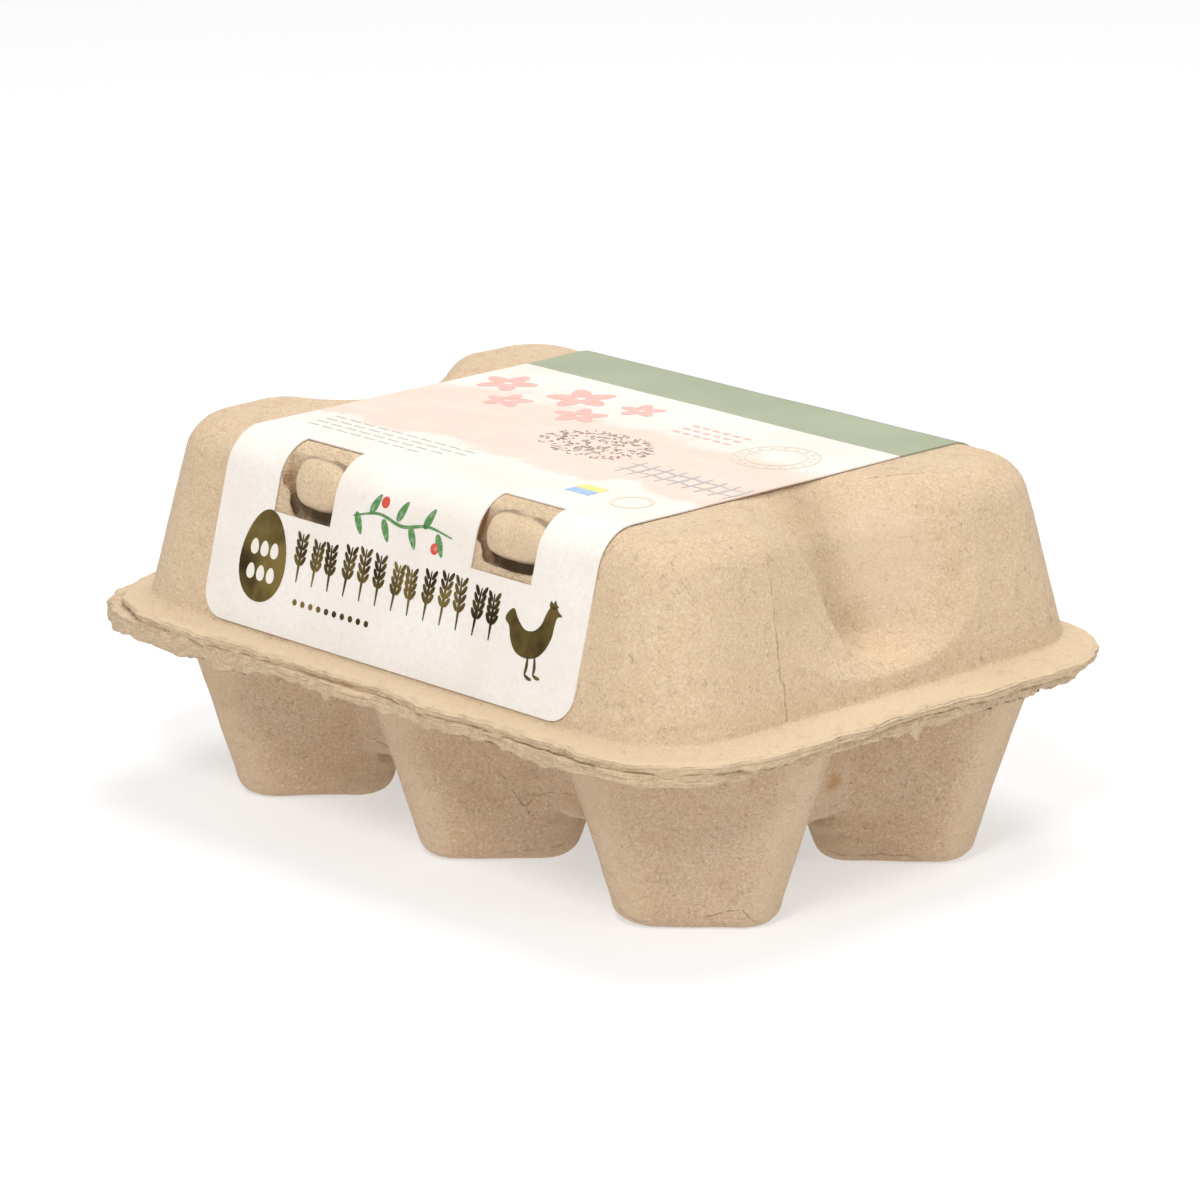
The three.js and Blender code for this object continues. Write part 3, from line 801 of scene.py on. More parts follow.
def tray_relief(points, crumple):
    """Unevenness of the pulp, folds where the webs end and waves low on the feet."""
    relief = noise_layers(points, TRAY_RELIEF)
    folds = 1 - np.abs(noise(points * [1, 1, 0.6], 3.0, 63))
    relief += crumple * CRUMPLE_HEIGHT * (folds - 0.68)
    foot_low = 1 - smooth_step(1.5, 5.5, points[:, 2])
    relief += foot_low * 0.22 * noise(points * [0.5, 0.5, 1.6], 4.5, 64)
    return relief * (1 - smooth_step(SEAM_Z - 1.6, SEAM_Z - 0.9, points[:, 2]))


def web_end_weight(points):
    """How near a point is to where a web's lower edge meets a foot."""
    weight = np.zeros(len(points))
    reach = math.sqrt(2) * FOOT_SIDE + 1.0
    for column, row in itertools.product(CELL_COLUMNS, CELL_ROWS):
        for dx, dy in ((1, 0), (-1, 0), (0, 1), (0, -1)):
            if column + dx not in CELL_COLUMNS or row + dy not in CELL_ROWS:
                continue
            x, y = column * CELL_PITCH_X + dx * reach, row * CELL_PITCH_Y + dy * reach
            spot = np.array([x, y, WEB_Z + 1.5])
            distance = np.linalg.norm((points - spot) * [1, 1, 0.75], axis=1)
            weight = np.maximum(weight, 1 - smooth_step(2.5, 7.5, distance))
    return weight


TRAY_CREASES = [
    [(-34.0, -40.6, 2.2), (-29.0, -36.0, 3.2), (-25.0, -31.8, 2.6)],
    [(13.4, -34.6, 16.0), (14.6, -31.4, 11.0), (19.0, -30.2, 14.2), (25.0, -30.0, 15.4)],
    [(11.6, -30.7, 2.4), (16.0, -26.1, 3.1)],
    [(2.5, -37.5, 17.0), (7.5, -33.0, 11.5), (9.0, -31.5, 10.2)],
    [(49.5, 7.6, 2.1), (55.5, 13.5, 2.6), (61.0, 18.8, 1.5)],
    [(47.5, -39.4, 2.4), (50.1, -37.2, 1.2)],
    [(58.6, -31.2, 3.0), (61.9, -28.3, 4.3), (63.0, -27.0, 2.4)],
    [(-30.0, -37.5, 11.0), (-23.0, -30.5, 12.0), (-20.0, -27.5, 11.4)],
]
# Place, size and strength
TRAY_STAINS = [((54.4, 0.5, 17.3), 2.2, 0.75), ((24.5, -30.0, 14.0), 3.0, 0.3),
               ((-14.0, -24.0, 12.0), 3.0, 0.25)]


def stain_weight(points):
    """Small orange-brown stains left by the pulp's glue."""
    weight = np.zeros(len(points))
    for spot, size, strength in TRAY_STAINS:
        distance = np.linalg.norm(points - np.array(spot), axis=1) + 0.8 * size * noise(points, 1.6, 90)
        weight = np.maximum(weight, strength * (1 - smooth_step(0.3 * size, size, distance)))
    return weight


def paint_tray(tray, crumple):
    points, normals = points_of(tray), normals_of(tray)
    side, near = crack_fields(points, normals, TRAY_CREASES, 3.0)
    set_values(tray, rim=0.55 * foot_corner_weight(points), stain=stain_weight(points), torn=crumple * 0.55,
               crack_side=side, crack_near=near)


def foot_corner_weight(points):
    """1 along the feet's upright edges, which rub pale."""
    x = (points[:, 0] / CELL_PITCH_X + 0.5) % 1 - 0.5
    y = (points[:, 1] / CELL_PITCH_Y) % 1 - 0.5
    x, y = np.abs(x * CELL_PITCH_X), np.abs(y * CELL_PITCH_Y)
    on_edge = 1 - smooth_step(2.0, 6.0, np.minimum(x, y))
    return on_edge * (points[:, 2] < SEAM_Z - 1.5)


# Torn tips that hang from the tray's rim, by x, y and length
RIM_TIPS = [(-57.0, -56.4, 1.6), (-41.8, -56.4, 1.0), (-7.0, -56.4, 1.3), (74.0, 0.4, 2.0),
            (36.0, -56.4, 0.8), (-74.5, 20.0, 1.2)]


def tray_rim_profile():
    """Height and inset of the rim's rings, from its underside over its torn edge to its top."""
    under = [(TRAY_RIM_LOW_Z, by) for by in (9.0, 6.0, 3.0, 1.6, 0.8)]
    edge = rounded_edge(TRAY_RIM_LOW_Z, SEAM_Z - TRAY_RIM_LOW_Z, 10, 0.4)
    return under + edge + [(SEAM_Z, by) for _, by in under[::-1]]


def rim_droop(points, outer):
    """How far the torn rim hangs down, most at the front left corner and at its torn tips."""
    x, y, z = points.T
    flat = points * [1, 1, 0]
    lower = smooth_step(SEAM_Z - 0.1, TRAY_RIM_LOW_Z, z)
    hanging = 0.6 + noise_layers(flat, ((0.6, 11, 74), (0.6, 2.4, 75)))
    droop = -0.55 * outer * (0.25 + 0.75 * lower) * hanging
    front_left = smooth_step(-12, -45, x) * smooth_step(20, -10, y)
    droop -= RIM_SLUMP * outer * lower * front_left * (0.8 + 0.35 * noise(flat, 5, 76))
    for tip_x, tip_y, length in RIM_TIPS:
        droop -= length * outer * lower * np.exp(-((x - tip_x) ** 2 + (y - tip_y) ** 2) / 0.9 ** 2)
    return np.minimum(droop, 0)


def make_tray_rim():
    points, faces = loft([at_height(tray_rim_ring(by), z) for z, by in tray_rim_profile()])
    rim = add_mesh("tray_rim", points, faces)
    points, normals = points_of(rim), normals_of(rim)
    reach = np.hypot(*((points[:, axis] - TRAY_RIM_SHIFT[axis]) / TRAY_RIM[axis] for axis in range(2)))
    free = 1 - along_hinge(points)
    weight = smooth_step(0.93, 0.975, reach) * free
    points = tear(points, normals, weight * 1.25, weight, TRAY_RIM_LOW_Z, 70)
    points[:, 2] += rim_droop(points, smooth_step(0.94, 1.0, reach) * free)
    set_points(rim, points)
    set_values(rim, rim=0.2 * weight, torn=weight)
    finish_piece(rim, "tray_pulp", pulp_material("tray_rim_felt", LID_TONE), "tray")


# Label sheet, laid out by x and by the distance along the lid's outline from its front edge

def outline_profile():
    """Front, top and back outline of the lid in y and z."""
    z = np.linspace(WALL_BASE_Z, TOP_Z, WALL_SAMPLES)
    y = np.array([wall_section(value)[1] for value in z])
    front = np.column_stack([-y, z])
    top_y = np.linspace(-y[-1], y[-1], TOP_SAMPLES)[1:-1]
    top = np.column_stack([top_y, np.full(len(top_y), TOP_Z)])
    return np.concatenate([front, top, front[::-1] * [-1, 1]])


PROFILE = outline_profile()
PROFILE_AT = np.concatenate([[0], np.cumsum(np.linalg.norm(np.diff(PROFILE, axis=0), axis=1))])
PROFILE_SLOPE = np.gradient(PROFILE, PROFILE_AT, axis=0)


def along_at_front(z):
    return float(np.interp(z, PROFILE[FRONT, 1], PROFILE_AT[FRONT]))


def along_at_top(y):
    return float(np.interp(y, PROFILE[TOP, 0], PROFILE_AT[TOP]))


def along_at_back(z):
    return float(np.interp(-z, -PROFILE[BACK, 1], PROFILE_AT[BACK]))


def sheet_points(x, along, lift):
    """Points over the lid at x and along the outline, lifted off it."""
    x, along = np.asarray(x, float), np.asarray(along, float)
    y, z = (np.interp(along, PROFILE_AT, PROFILE[:, axis]) for axis in range(2))
    slope_y, slope_z = (np.interp(along, PROFILE_AT, PROFILE_SLOPE[:, axis]) for axis in range(2))
    length = np.hypot(slope_y, slope_z)
    flat = np.column_stack([x, along, np.zeros(len(x))])
    lift = lift + PAPER_WAVES[0][0] + noise_layers(flat, PAPER_WAVES)
    return np.column_stack([x, y - lift * slope_z / length, z + lift * slope_y / length])


def graded(stops, step):
    """Values through stops, evenly spaced between each two, about one step apart."""
    values = [stops[0]]
    for low, high in zip(stops[:-1], stops[1:]):
        count = max(1, round((high - low) / step))
        values.extend(low + (high - low) * (i + 1) / count for i in range(count))
    return np.array(values)


def label_outline_inset(distance):
    """How far the label's side draws in at a distance from its end, at its rounded corners."""
    left = np.clip(LABEL_CORNER - distance, 0, LABEL_CORNER)
    return LABEL_CORNER - np.sqrt(LABEL_CORNER ** 2 - left ** 2)


def make_label():
    left, right = LABEL_SHIFT - LABEL_HALF, LABEL_SHIFT + LABEL_HALF
    start, end = along_at_front(LABEL_FRONT_Z), along_at_back(LABEL_BACK_Z)
    low, back = along_at_front(WINDOW_LOW_Z), along_at_top(WINDOW_BACK_Y)
    window_edges = sorted(window["x"] + side * WINDOW_HALF for window in WINDOWS for side in (-1, 1))
    xs = graded([left, left + CORNER_ZONE, *window_edges, right - CORNER_ZONE, right], 1.2)
    corner = LABEL_CORNER * (1 - np.cos(math.pi / 2 * np.arange(CORNER_CELLS) / CORNER_CELLS))
    middle = graded([start + LABEL_CORNER, low, back, end - LABEL_CORNER], 0.9)
    rows = np.concatenate([start + corner, middle, end - corner[::-1]])

    grid_x, grid_along = np.meshgrid(xs, rows)
    drawn = np.maximum(label_outline_inset(grid_along - start), label_outline_inset(end - grid_along))
    from_left = np.clip(1 - (grid_x - left) / CORNER_ZONE, 0, 1)
    from_right = np.clip(1 - (right - grid_x) / CORNER_ZONE, 0, 1)
    x, along = (grid_x + drawn * (from_left - from_right)).ravel(), grid_along.ravel()
    label = add_mesh("label_paper", sheet_points(x, along, LABEL_LIFT), label_faces(xs, rows, low, back))
    attribute = label.data.attributes.new("print_mm", "FLOAT_VECTOR", "POINT")
    place = np.column_stack([x, along, np.zeros(len(x))])
    attribute.data.foreach_set("vector", place.astype(np.float32).ravel())
    drop_loose(label)
    thick = label.modifiers.new("thickness", "SOLIDIFY")
    thick.thickness = LABEL_THICK * MM
    thick.offset = 1.0
    apply_modifiers(label)
    label.data.shade_smooth()
    label.data.set_sharp_from_angle(angle=math.radians(40))
    finish_piece(label, "label_paper", label_material(), "label")


def label_faces(xs, rows, low, back):
    """Quads between the label's rows and columns, with the windows left open."""
    columns = len(xs)
    faces = []
    for row, column in itertools.product(range(len(rows) - 1), range(columns - 1)):
        x = (xs[column] + xs[column + 1]) / 2
        in_rows = low < (rows[row] + rows[row + 1]) / 2 < back
        if in_rows and any(abs(x - window["x"]) < WINDOW_HALF for window in WINDOWS):
            continue
        first = row * columns + column
        faces.append((first, first + 1, first + columns + 1, first + columns))
    return faces


def drop_loose(piece):
    work = bmesh.new()
    work.from_mesh(piece.data)
    bmesh.ops.delete(work, geom=[v for v in work.verts if not v.link_faces], context="VERTS")
    work.to_mesh(piece.data)
    work.free()


# Printed shapes, flat outlines in x and along, laid on the label

def print_mesh(name, outlines, material, level=1):
    """One piece of closed flat outlines, cut into cells so that it follows the paper."""
    work = bmesh.new()
    for outline in outlines:
        work.faces.new([work.verts.new((x, along, 0)) for x, along in outline])
    corners = np.concatenate([np.array(outline) for outline in outlines])
    low, high = corners.min(axis=0), corners.max(axis=0)
    for axis, direction in enumerate((Vector((1, 0, 0)), Vector((0, 1, 0)))):
        for value in np.arange(low[axis] + PRINT_CELL, high[axis], PRINT_CELL):
            everything = work.verts[:] + work.edges[:] + work.faces[:]
            bmesh.ops.bisect_plane(work, geom=everything, plane_co=direction * value, plane_no=direction)
    bmesh.ops.triangulate(work, faces=work.faces[:])
    work.verts.ensure_lookup_table()
    flat = np.array([v.co[:] for v in work.verts])
    faces = []
    for face in work.faces:
        ring = [v.index for v in face.verts]
        faces.append(ring if face.normal.z > 0 else ring[::-1])
    work.free()
    lift = LABEL_LIFT + LABEL_THICK + PRINT_LIFT * level
    piece = add_mesh(name, sheet_points(flat[:, 0], flat[:, 1], lift), faces)
    finish_piece(piece, "label_paper", material)


def oval(x, along, half_x, half_along, taper=0.0, turn=0.0, count=36):
    """Oval outline, narrower at its far end by taper, turned in degrees."""
    outline = []
    c, s = math.cos(math.radians(turn)), math.sin(math.radians(turn))
    for step in range(count):
        angle = 2 * math.pi * step / count
        up = math.sin(angle)
        across = half_x * math.cos(angle) * (1 - taper * up)
        outline.append((x + across * c - half_along * up * s, along + across * s + half_along * up * c))
    return outline


def ring_outlines(x, along, radius, width, count=48):
    """Ring of short four-cornered pieces."""
    outlines = []
    for step in range(count):
        a, b = (2 * math.pi * (step + k) / count for k in (0, 1))
        inner, outer = radius - width / 2, radius + width / 2
        outlines.append([(x + r * math.cos(t), along + r * math.sin(t))
                         for r, t in ((inner, a), (outer, a), (outer, b), (inner, b))])
    return outlines


def stroke(points, width):
    """Four-cornered pieces along a path, narrowing to both ends."""
    points = np.array(points, float)
    slopes = np.gradient(points, axis=0)
    across = np.column_stack([-slopes[:, 1], slopes[:, 0]])
    across /= np.linalg.norm(across, axis=1)[:, None]
    share = np.linspace(0, 1, len(points))
    half = width / 2 * (0.35 + 0.65 * np.sin(math.pi * share))
    left, right = points + across * half[:, None], points - across * half[:, None]
    return [[tuple(left[i]), tuple(right[i]), tuple(right[i + 1]), tuple(left[i + 1])]
            for i in range(len(points) - 1)]


def curve(points, steps=6, closed=False):
    """Smooth curve through points."""
    points = np.array(points, float)
    count = len(points)
    result = []
    for i in range(count if closed else count - 1):
        around = range(i - 1, i + 3)
        a, b, c, d = points[[k % count if closed else min(max(k, 0), count - 1) for k in around]]
        for t in np.arange(steps) / steps:
            result.append(0.5 * (2 * b + (c - a) * t + (2 * a - 5 * b + 4 * c - d) * t ** 2
                                 + (3 * b - a - 3 * c + d) * t ** 3))
    if not closed:
        result.append(points[-1])
    return [tuple(p) for p in result]


HEN_BODY = [(-5.9, 3.6), (-4.7, 4.4), (-3.4, 2.9), (-1.6, 1.6), (0.4, 1.7), (1.9, 3.0), (2.6, 4.9),
            (3.3, 6.1), (4.4, 6.5), (5.3, 5.8), (6.2, 5.2), (5.2, 4.8), (4.9, 3.4), (4.7, 1.4),
            (3.7, -0.8), (1.9, -2.4), (-0.6, -2.9), (-2.9, -2.3), (-4.4, -0.6), (-5.2, 1.4), (-6.3, 2.4)]
HEN_COMB = [(3.1, 6.2), (3.2, 7.2), (3.8, 6.9), (4.2, 7.5), (4.7, 6.8), (5.1, 6.6), (4.6, 6.0)]
HEN_LEGS = [[(0.2, -2.4), (0.3, -4.2), (0.1, -5.6)], [(0.1, -5.5), (1.0, -5.9), (1.9, -6.0)],
            [(1.7, -2.2), (2.1, -4.0), (2.0, -5.3)], [(2.0, -5.2), (2.9, -5.5), (3.7, -5.5)]]


def make_badge():
    """Egg-shaped badge with two rows of three small eggs."""
    x, at = -31.4, along_at_front(48.3)
    print_mesh("print_badge", [oval(x, at, 5.7, 7.9, 0.16)], foil_material())
    eggs = [oval(x + dx, at + dy, 1.0, 1.35, 0.16, count=20) for dx in (-2.5, 0, 2.5) for dy in (-3.0, 1.2)]
    print_mesh("print_badge_eggs", eggs, ink("cream"), level=2)


def make_stalks():
    """Row of wheat stalks with four pairs of grains each, over a row of dots."""
    base = along_at_front(45.6)
    stalks = []
    for step in range(13):
        x = -22.4 + 3.95 * step
        lean = 0.6 * math.sin(2.4 * step)
        top = 8.2 + 0.6 * math.sin(5.1 * step)
        stalks += stroke([(x, base), (x + lean * 0.3, base + top * 0.5), (x + lean, base + top)], 0.75)
        for k, side in itertools.product(range(4), (-1, 1)):
            at = base + top * (0.40 + 0.16 * k)
            grain_x = x + lean * (0.4 + 0.15 * k) + side * 0.86
            stalks.append(oval(grain_x, at + 0.45, 0.40, 1.0, turn=-side * 32, count=12))
    print_mesh("print_stalks", stalks, foil_material())
    dots = [oval(-21.8 + 2.0 * step, along_at_front(42.4), 0.55, 0.55, count=14) for step in range(10)]
    print_mesh("print_dots", dots, foil_material())


def make_hen():
    def placed(points):
        return [(34.4 + x, along_at_front(47.4) + y) for x, y in points]

    hen = [curve(placed(HEN_BODY), 5, closed=True), curve(placed(HEN_COMB), 3, closed=True)]
    for leg in HEN_LEGS:
        hen += stroke(curve(placed(leg), 3), 0.62)
    print_mesh("print_bird", hen, foil_material())


def make_sprig():
    """Green sprig with two red berries between the windows."""
    middle_x, middle_at = 0.6, along_at_front(59.6)
    stem = curve([(-12.0, -0.9), (-6.0, 0.5), (0, -0.5), (6.0, 0.6), (12.0, -0.2)], 6)
    leaves = stroke([(middle_x + x, middle_at + y) for x, y in stem], 0.6)
    for step in range(7):
        side = 1 if step % 2 else -1
        x = -10.4 + 3.3 * step
        leaves.append(oval(middle_x + x, middle_at + side * 1.9, 0.75, 2.0, 0.25 * side, -side * 28, 20))
    print_mesh("print_sprig", leaves, ink("leaf"))
    berries = [oval(middle_x + x, middle_at + y, 0.95, 0.95, count=20) for x, y in ((-4.9, 2.6), (8.4, -2.6))]
    print_mesh("print_berries", berries, ink("berry"))


def make_blooms():
    blooms = []
    for x, y, size in ((-36, 12, 3.2), (-27, 3.5, 2.6), (-19, 13.5, 3.6), (-10.5, 5.0, 2.8), (-5.5, 15, 2.4)):
        for petal in range(5):
            angle = 2 * math.pi * petal / 5 + x
            place = (x + size * math.cos(angle), along_at_top(y) + size * math.sin(angle))
            blooms.append(oval(*place, size * 0.5, size * 0.78, 0.2, math.degrees(angle) - 90, 16))
    print_mesh("print_blooms", blooms, ink("pale_red"))


def make_bush():
    """Stippled bush, an oval cloud of small specks."""
    rng = np.random.default_rng(7)
    specks = []
    for _ in range(260):
        angle = rng.uniform(0, 2 * math.pi)
        reach = math.sqrt(rng.uniform(0.02, 1))
        place = (6 + 11.5 * reach * math.cos(angle), along_at_top(-6.5 + 8.0 * reach * math.sin(angle)))
        specks.append(oval(*place, rng.uniform(0.2, 0.62), rng.uniform(0.12, 0.4), turn=rng.uniform(0, 180),
                           count=7))
    print_mesh("print_bush", specks, ink("sepia"))


def make_fence():
    rails = []
    for step in range(9):
        x = 20.5 + 3.1 * step
        post = [(x, along_at_top(-16.5)), (x + 0.3, along_at_top(-12.5)), (x, along_at_top(-8.8))]
        rails += stroke(post, 0.8)
    for y in (-11.0, -14.2):
        rails += stroke([(x, along_at_top(y + 0.3 * math.sin(x))) for x in np.linspace(19, 46, 14)], 0.6)
    print_mesh("print_fence", rails, ink("grey"))


def bar(x, along, width, height):
    return [(x, along), (x + width, along), (x + width, along + height), (x, along + height)]


def make_rules():
    """Four broken lines, each shorter than the one behind it."""
    lines = [bar(x, along_at_top(-25.2 - 2.1 * row) - 0.18, 2.7, 0.36)
             for row in range(4) for x in np.arange(-39, -3 - 3 * row, 3.6)]
    print_mesh("print_rules", lines, ink("grey"))


def make_rings():
    """Double ring with dots between its lines, and a small ring."""
    x, at = 33.0, along_at_top(8.8)
    rings = ring_outlines(x, at, 7.4, 0.35) + ring_outlines(x, at, 5.2, 0.3)
    rings += [oval(x + 6.3 * math.cos(a), at + 6.3 * math.sin(a), 0.36, 0.36, count=10)
              for a in np.linspace(0, 2 * math.pi, 18, endpoint=False)]
    rings += ring_outlines(37.0, along_at_top(-28.4), 3.4, 0.5)
    print_mesh("print_rings", rings, ink("gold"))


def make_bars():
    """Two bars of colour, and a block of dashes."""
    print_mesh("print_blue", [bar(23.4, along_at_top(-30.6), 5.6, 2.4)], ink("blue"))
    print_mesh("print_yellow", [bar(23.4, along_at_top(-28.0), 5.6, 2.4)], ink("yellow"))
    dashes = [bar(8 + 2.4 * k, along_at_top(9 + 2.4 * row), 1.6, 0.7) for k in range(6) for row in range(3)]
    print_mesh("print_dashes", dashes, ink("pale_red"))


# Materials

LID_TONE = {"base": (0.69, 0.52, 0.345), "dark": (0.55, 0.39, 0.235), "pale": (0.82, 0.67, 0.48),
            "warm": (0.66, 0.46, 0.265)}
TRAY_TONE = {"base": (0.61, 0.435, 0.285), "dark": (0.47, 0.31, 0.19), "pale": (0.78, 0.64, 0.49),
             "warm": (0.58, 0.375, 0.215)}
FIBRE_TONE = (0.30, 0.18, 0.085)
SPECK_TONE = (0.17, 0.085, 0.035)
CRACK_TONE = (0.34, 0.185, 0.075)
STAIN_TONE = (0.50, 0.25, 0.09)
# Paler rim tone: painted light on the lid's flange, rubbed wear on the feet's upright edges, and a little on
# the tray's torn rim and the knobs
RIM_TONE = (0.69, 0.53, 0.35)
# Painted shade behind the windows' lips and on the knobs
SHADE_TONE = (0.052, 0.027, 0.013)
# Painted shade for the scoop's fold, and painted light for its dish
VALLEY_SHADE_TONE = (0.30, 0.19, 0.09)
DISH_LIGHT_TONE = (0.74, 0.57, 0.415)
PAPER_TONE = (0.84, 0.79, 0.74)
PAPER_TONES = ((0.80, 0.735, 0.67), (0.85, 0.80, 0.745))
BAND_TONES = ((0.35, 0.385, 0.265), (0.385, 0.415, 0.295))
WASH_TONES = ((0.72, 0.46, 0.36), (0.80, 0.62, 0.50))
FOIL_TONES = ((0.055, 0.034, 0.009), (0.30, 0.21, 0.06))

# Tone of each ink, and how much of the paper it covers
INKS = {
    "cream": ((0.80, 0.74, 0.64), 1.0),
    "leaf": ((0.075, 0.23, 0.055), 1.0),
    "berry": ((0.62, 0.06, 0.035), 1.0),
    "pale_red": ((0.78, 0.33, 0.27), 0.75),
    "sepia": ((0.30, 0.155, 0.115), 0.85),
    "grey": ((0.36, 0.33, 0.32), 0.7),
    "gold": ((0.66, 0.50, 0.24), 0.55),
    "blue": ((0.20, 0.42, 0.70), 0.8),
    "yellow": ((0.86, 0.68, 0.12), 0.8),
}


class Nodes:
    """Small helper that adds and links a material's shader nodes."""

    def __init__(self, name):
        self.material = bpy.data.materials.new(name)
        self.material.use_nodes = True
        self.tree = self.material.node_tree
        self.shader = self.tree.nodes["Principled BSDF"]

    @functools.cached_property
    def place(self):
        return self.add("ShaderNodeTexCoord").outputs["Object"]

    def add(self, kind, values=(), **settings):
        node = self.tree.nodes.new(kind)
        for key, value in settings.items():
            setattr(node, key, value)
        for socket, value in dict(values).items():
            self.put(node.inputs[socket], value)
        return node

    def put(self, socket, value):
        if isinstance(value, bpy.types.NodeSocket):
            self.tree.links.new(value, socket)
        elif isinstance(value, tuple) and len(value) == 3 and socket.type == "RGBA":
            socket.default_value = (*value, 1)
        else:
            socket.default_value = value

    def math(self, operation, a, b=0.0):
        return self.add("ShaderNodeMath", {0: a, 1: b}, operation=operation).outputs[0]

    def times(self, a, b):
        return self.math("MULTIPLY", a, b)

    def noise(self, size, detail=2.0, rough=0.5, distortion=0.0, stretch=None):
        """Noise whose features are about size millimetres across."""
        where = self.place
        if stretch:
            where = self.add("ShaderNodeMapping", {"Vector": where, "Scale": stretch}).outputs[0]
        values = {"Vector": where, "Scale": 1 / (size * MM), "Detail": detail, "Roughness": rough,
                  "Distortion": distortion}
        return self.add("ShaderNodeTexNoise", values).outputs["Fac"]

    def fibre_lines(self, size, distortion, patch_size, patch_low, patch_high):
        """Thin short lines where one noise crosses its middle, in the patches of another."""
        off_middle = self.math("ABSOLUTE", self.math("SUBTRACT", self.noise(size, 2, 0.5, distortion), 0.5))
        patches = self.step(self.noise(patch_size, 1), patch_low, patch_high)
        return self.times(self.step(off_middle, 0.003, 0.011, 1, 0), patches)

    def step(self, value, low, high, to_low=0.0, to_high=1.0):
        values = {"Value": value, "From Min": low, "From Max": high, "To Min": to_low, "To Max": to_high}
        return self.add("ShaderNodeMapRange", values, interpolation_type="SMOOTHSTEP").outputs[0]

    def mix(self, share, a, b):
        return self.add("ShaderNodeMix", {0: share, 6: a, 7: b}, data_type="RGBA").outputs[2]

    def cover(self, colour, *layers):
        """Lay tones over a colour, each with its share."""
        for share, tone in layers:
            colour = self.mix(share, colour, tone)
        return colour

    def value_of(self, name):
        return self.add("ShaderNodeAttribute", attribute_name=name).outputs["Fac"]

    def bumps(self, *heights):
        """Bumps over one another, each with its height, its depth in millimetres and its strength."""
        normal = None
        for height, depth, strength in heights:
            values = {"Height": height, "Distance": depth * MM, "Strength": strength}
            if normal is not None:
                values["Normal"] = normal
            normal = self.add("ShaderNodeBump", values).outputs[0]
        return normal

    def finish(self, colour, roughness, normal=None, **constants):
        self.put(self.shader.inputs["Base Color"], colour)
        self.put(self.shader.inputs["Roughness"], roughness)
        if normal is not None:
            self.put(self.shader.inputs["Normal"], normal)
        for name, value in constants.items():
            self.shader.inputs[name.replace("_", " ")].default_value = value
        return self.material


def speck_share(n):
    """Small dark specks, scattered singly."""
    speck = n.add("ShaderNodeTexVoronoi", {"Vector": n.place, "Scale": 1 / (3.1 * MM), "Randomness": 1.0})
    chosen = n.step(n.add("ShaderNodeSeparateColor", {0: speck.outputs["Color"]}).outputs[0], 0.80, 0.82)
    return n.times(chosen, n.step(speck.outputs["Distance"], 0.03, 0.08, 1, 0))


def crack_share(n):
    """Thin, wandering and broken line along the cracks."""
    wander = n.times(n.math("SUBTRACT", n.noise(2.0, 3), 0.5), 1.1)
    off_line = n.math("ABSOLUTE", n.math("ADD", n.value_of("crack_side"), wander))
    crack = n.times(n.step(off_line, 0.02, 0.16, 1, 0), n.value_of("crack_near"))
    return n.times(crack, n.step(n.noise(2.4, 2), 0.36, 0.54))


def screen_mesh(n):
    """Faint print of the forming screen."""
    waves = [n.add("ShaderNodeTexWave", {"Vector": n.place, "Scale": 1 / (15.0 * MM)}, bands_direction=axis)
             for axis in ("X", "Z")]
    return n.times(*(wave.outputs["Fac"] for wave in waves))


def pulp_material(name, tone):
    """Felted pulp: fine grain, fibres, specks, and the tones, painted shade and painted light that the
    meshes' own fields lay on it.
    """
    n = Nodes(name)
    mottle, grain, fine = n.noise(2.6, 3, 0.6, 0.4), n.noise(0.55, 3, 0.75), n.noise(0.22, 2, 0.6)
    fibre = n.fibre_lines(1.7, 1.3, 2.2, 0.56, 0.66)
    torn_edge, layers = n.value_of("torn"), n.noise(1.5, 3, 0.65, stretch=(1, 1, 5))
    crack = crack_share(n)
    colour = n.cover(
        n.mix(n.step(mottle, 0.22, 0.78, 0.62, 1.0), tone["dark"], tone["base"]),
        (n.step(n.noise(24, 2, 0.5), 0.35, 0.72, 0, 0.22), tone["pale"]),
        (n.step(n.noise(7.0, 3, 0.6), 0.45, 0.75, 0, 0.35), tone["warm"]),
        (n.step(grain, 0.50, 0.74, 0, 0.8), tone["pale"]),
        (n.step(grain, 0.28, 0.50, 1.0, 0), tone["dark"]),
        (n.step(fine, 0.50, 0.70, 0, 0.75), tone["dark"]),
        (n.times(fibre, 0.4), FIBRE_TONE),
        (n.times(speck_share(n), 0.7), SPECK_TONE),
        # Paler rim tone: painted light on the lid's flange, rubbed wear on the feet's upright edges
        (n.times(n.value_of("rim"), 0.7), RIM_TONE),
        # Painted shade in the scoop's fold, and painted light on its dish
        (n.times(n.value_of("valley"), 0.30), VALLEY_SHADE_TONE),
        (n.times(n.value_of("dish"), 0.45), DISH_LIGHT_TONE),
        (n.times(torn_edge, n.step(layers, 0.5, 0.66, 0, 0.75)), tone["dark"]),
        (n.times(torn_edge, n.step(layers, 0.3, 0.44, 0.6, 0)), tone["pale"]),
        (n.times(crack, 0.42), CRACK_TONE),
        (n.value_of("stain"), STAIN_TONE),
        # Painted shade behind the windows' lips and on the knobs
        (n.value_of("dark"), SHADE_TONE),
    )
    normal = n.bumps(
        (mottle, 0.14, 0.7),
        (n.math("ADD", grain, n.times(screen_mesh(n), 0.25)), 0.24, 1.0),
        (n.math("ADD", fine, n.times(fibre, 0.6)), 0.10, 1.0),
        (n.times(layers, torn_edge), 0.45, 0.9),
        (n.math("SUBTRACT", 1.0, crack), 0.16, 0.9),
    )
    return n.finish(colour, n.step(grain, 0.3, 0.8, 0.86, 0.98), normal, Sheen_Weight=0.1,
                    Sheen_Roughness=0.6, Specular_IOR_Level=0.2)


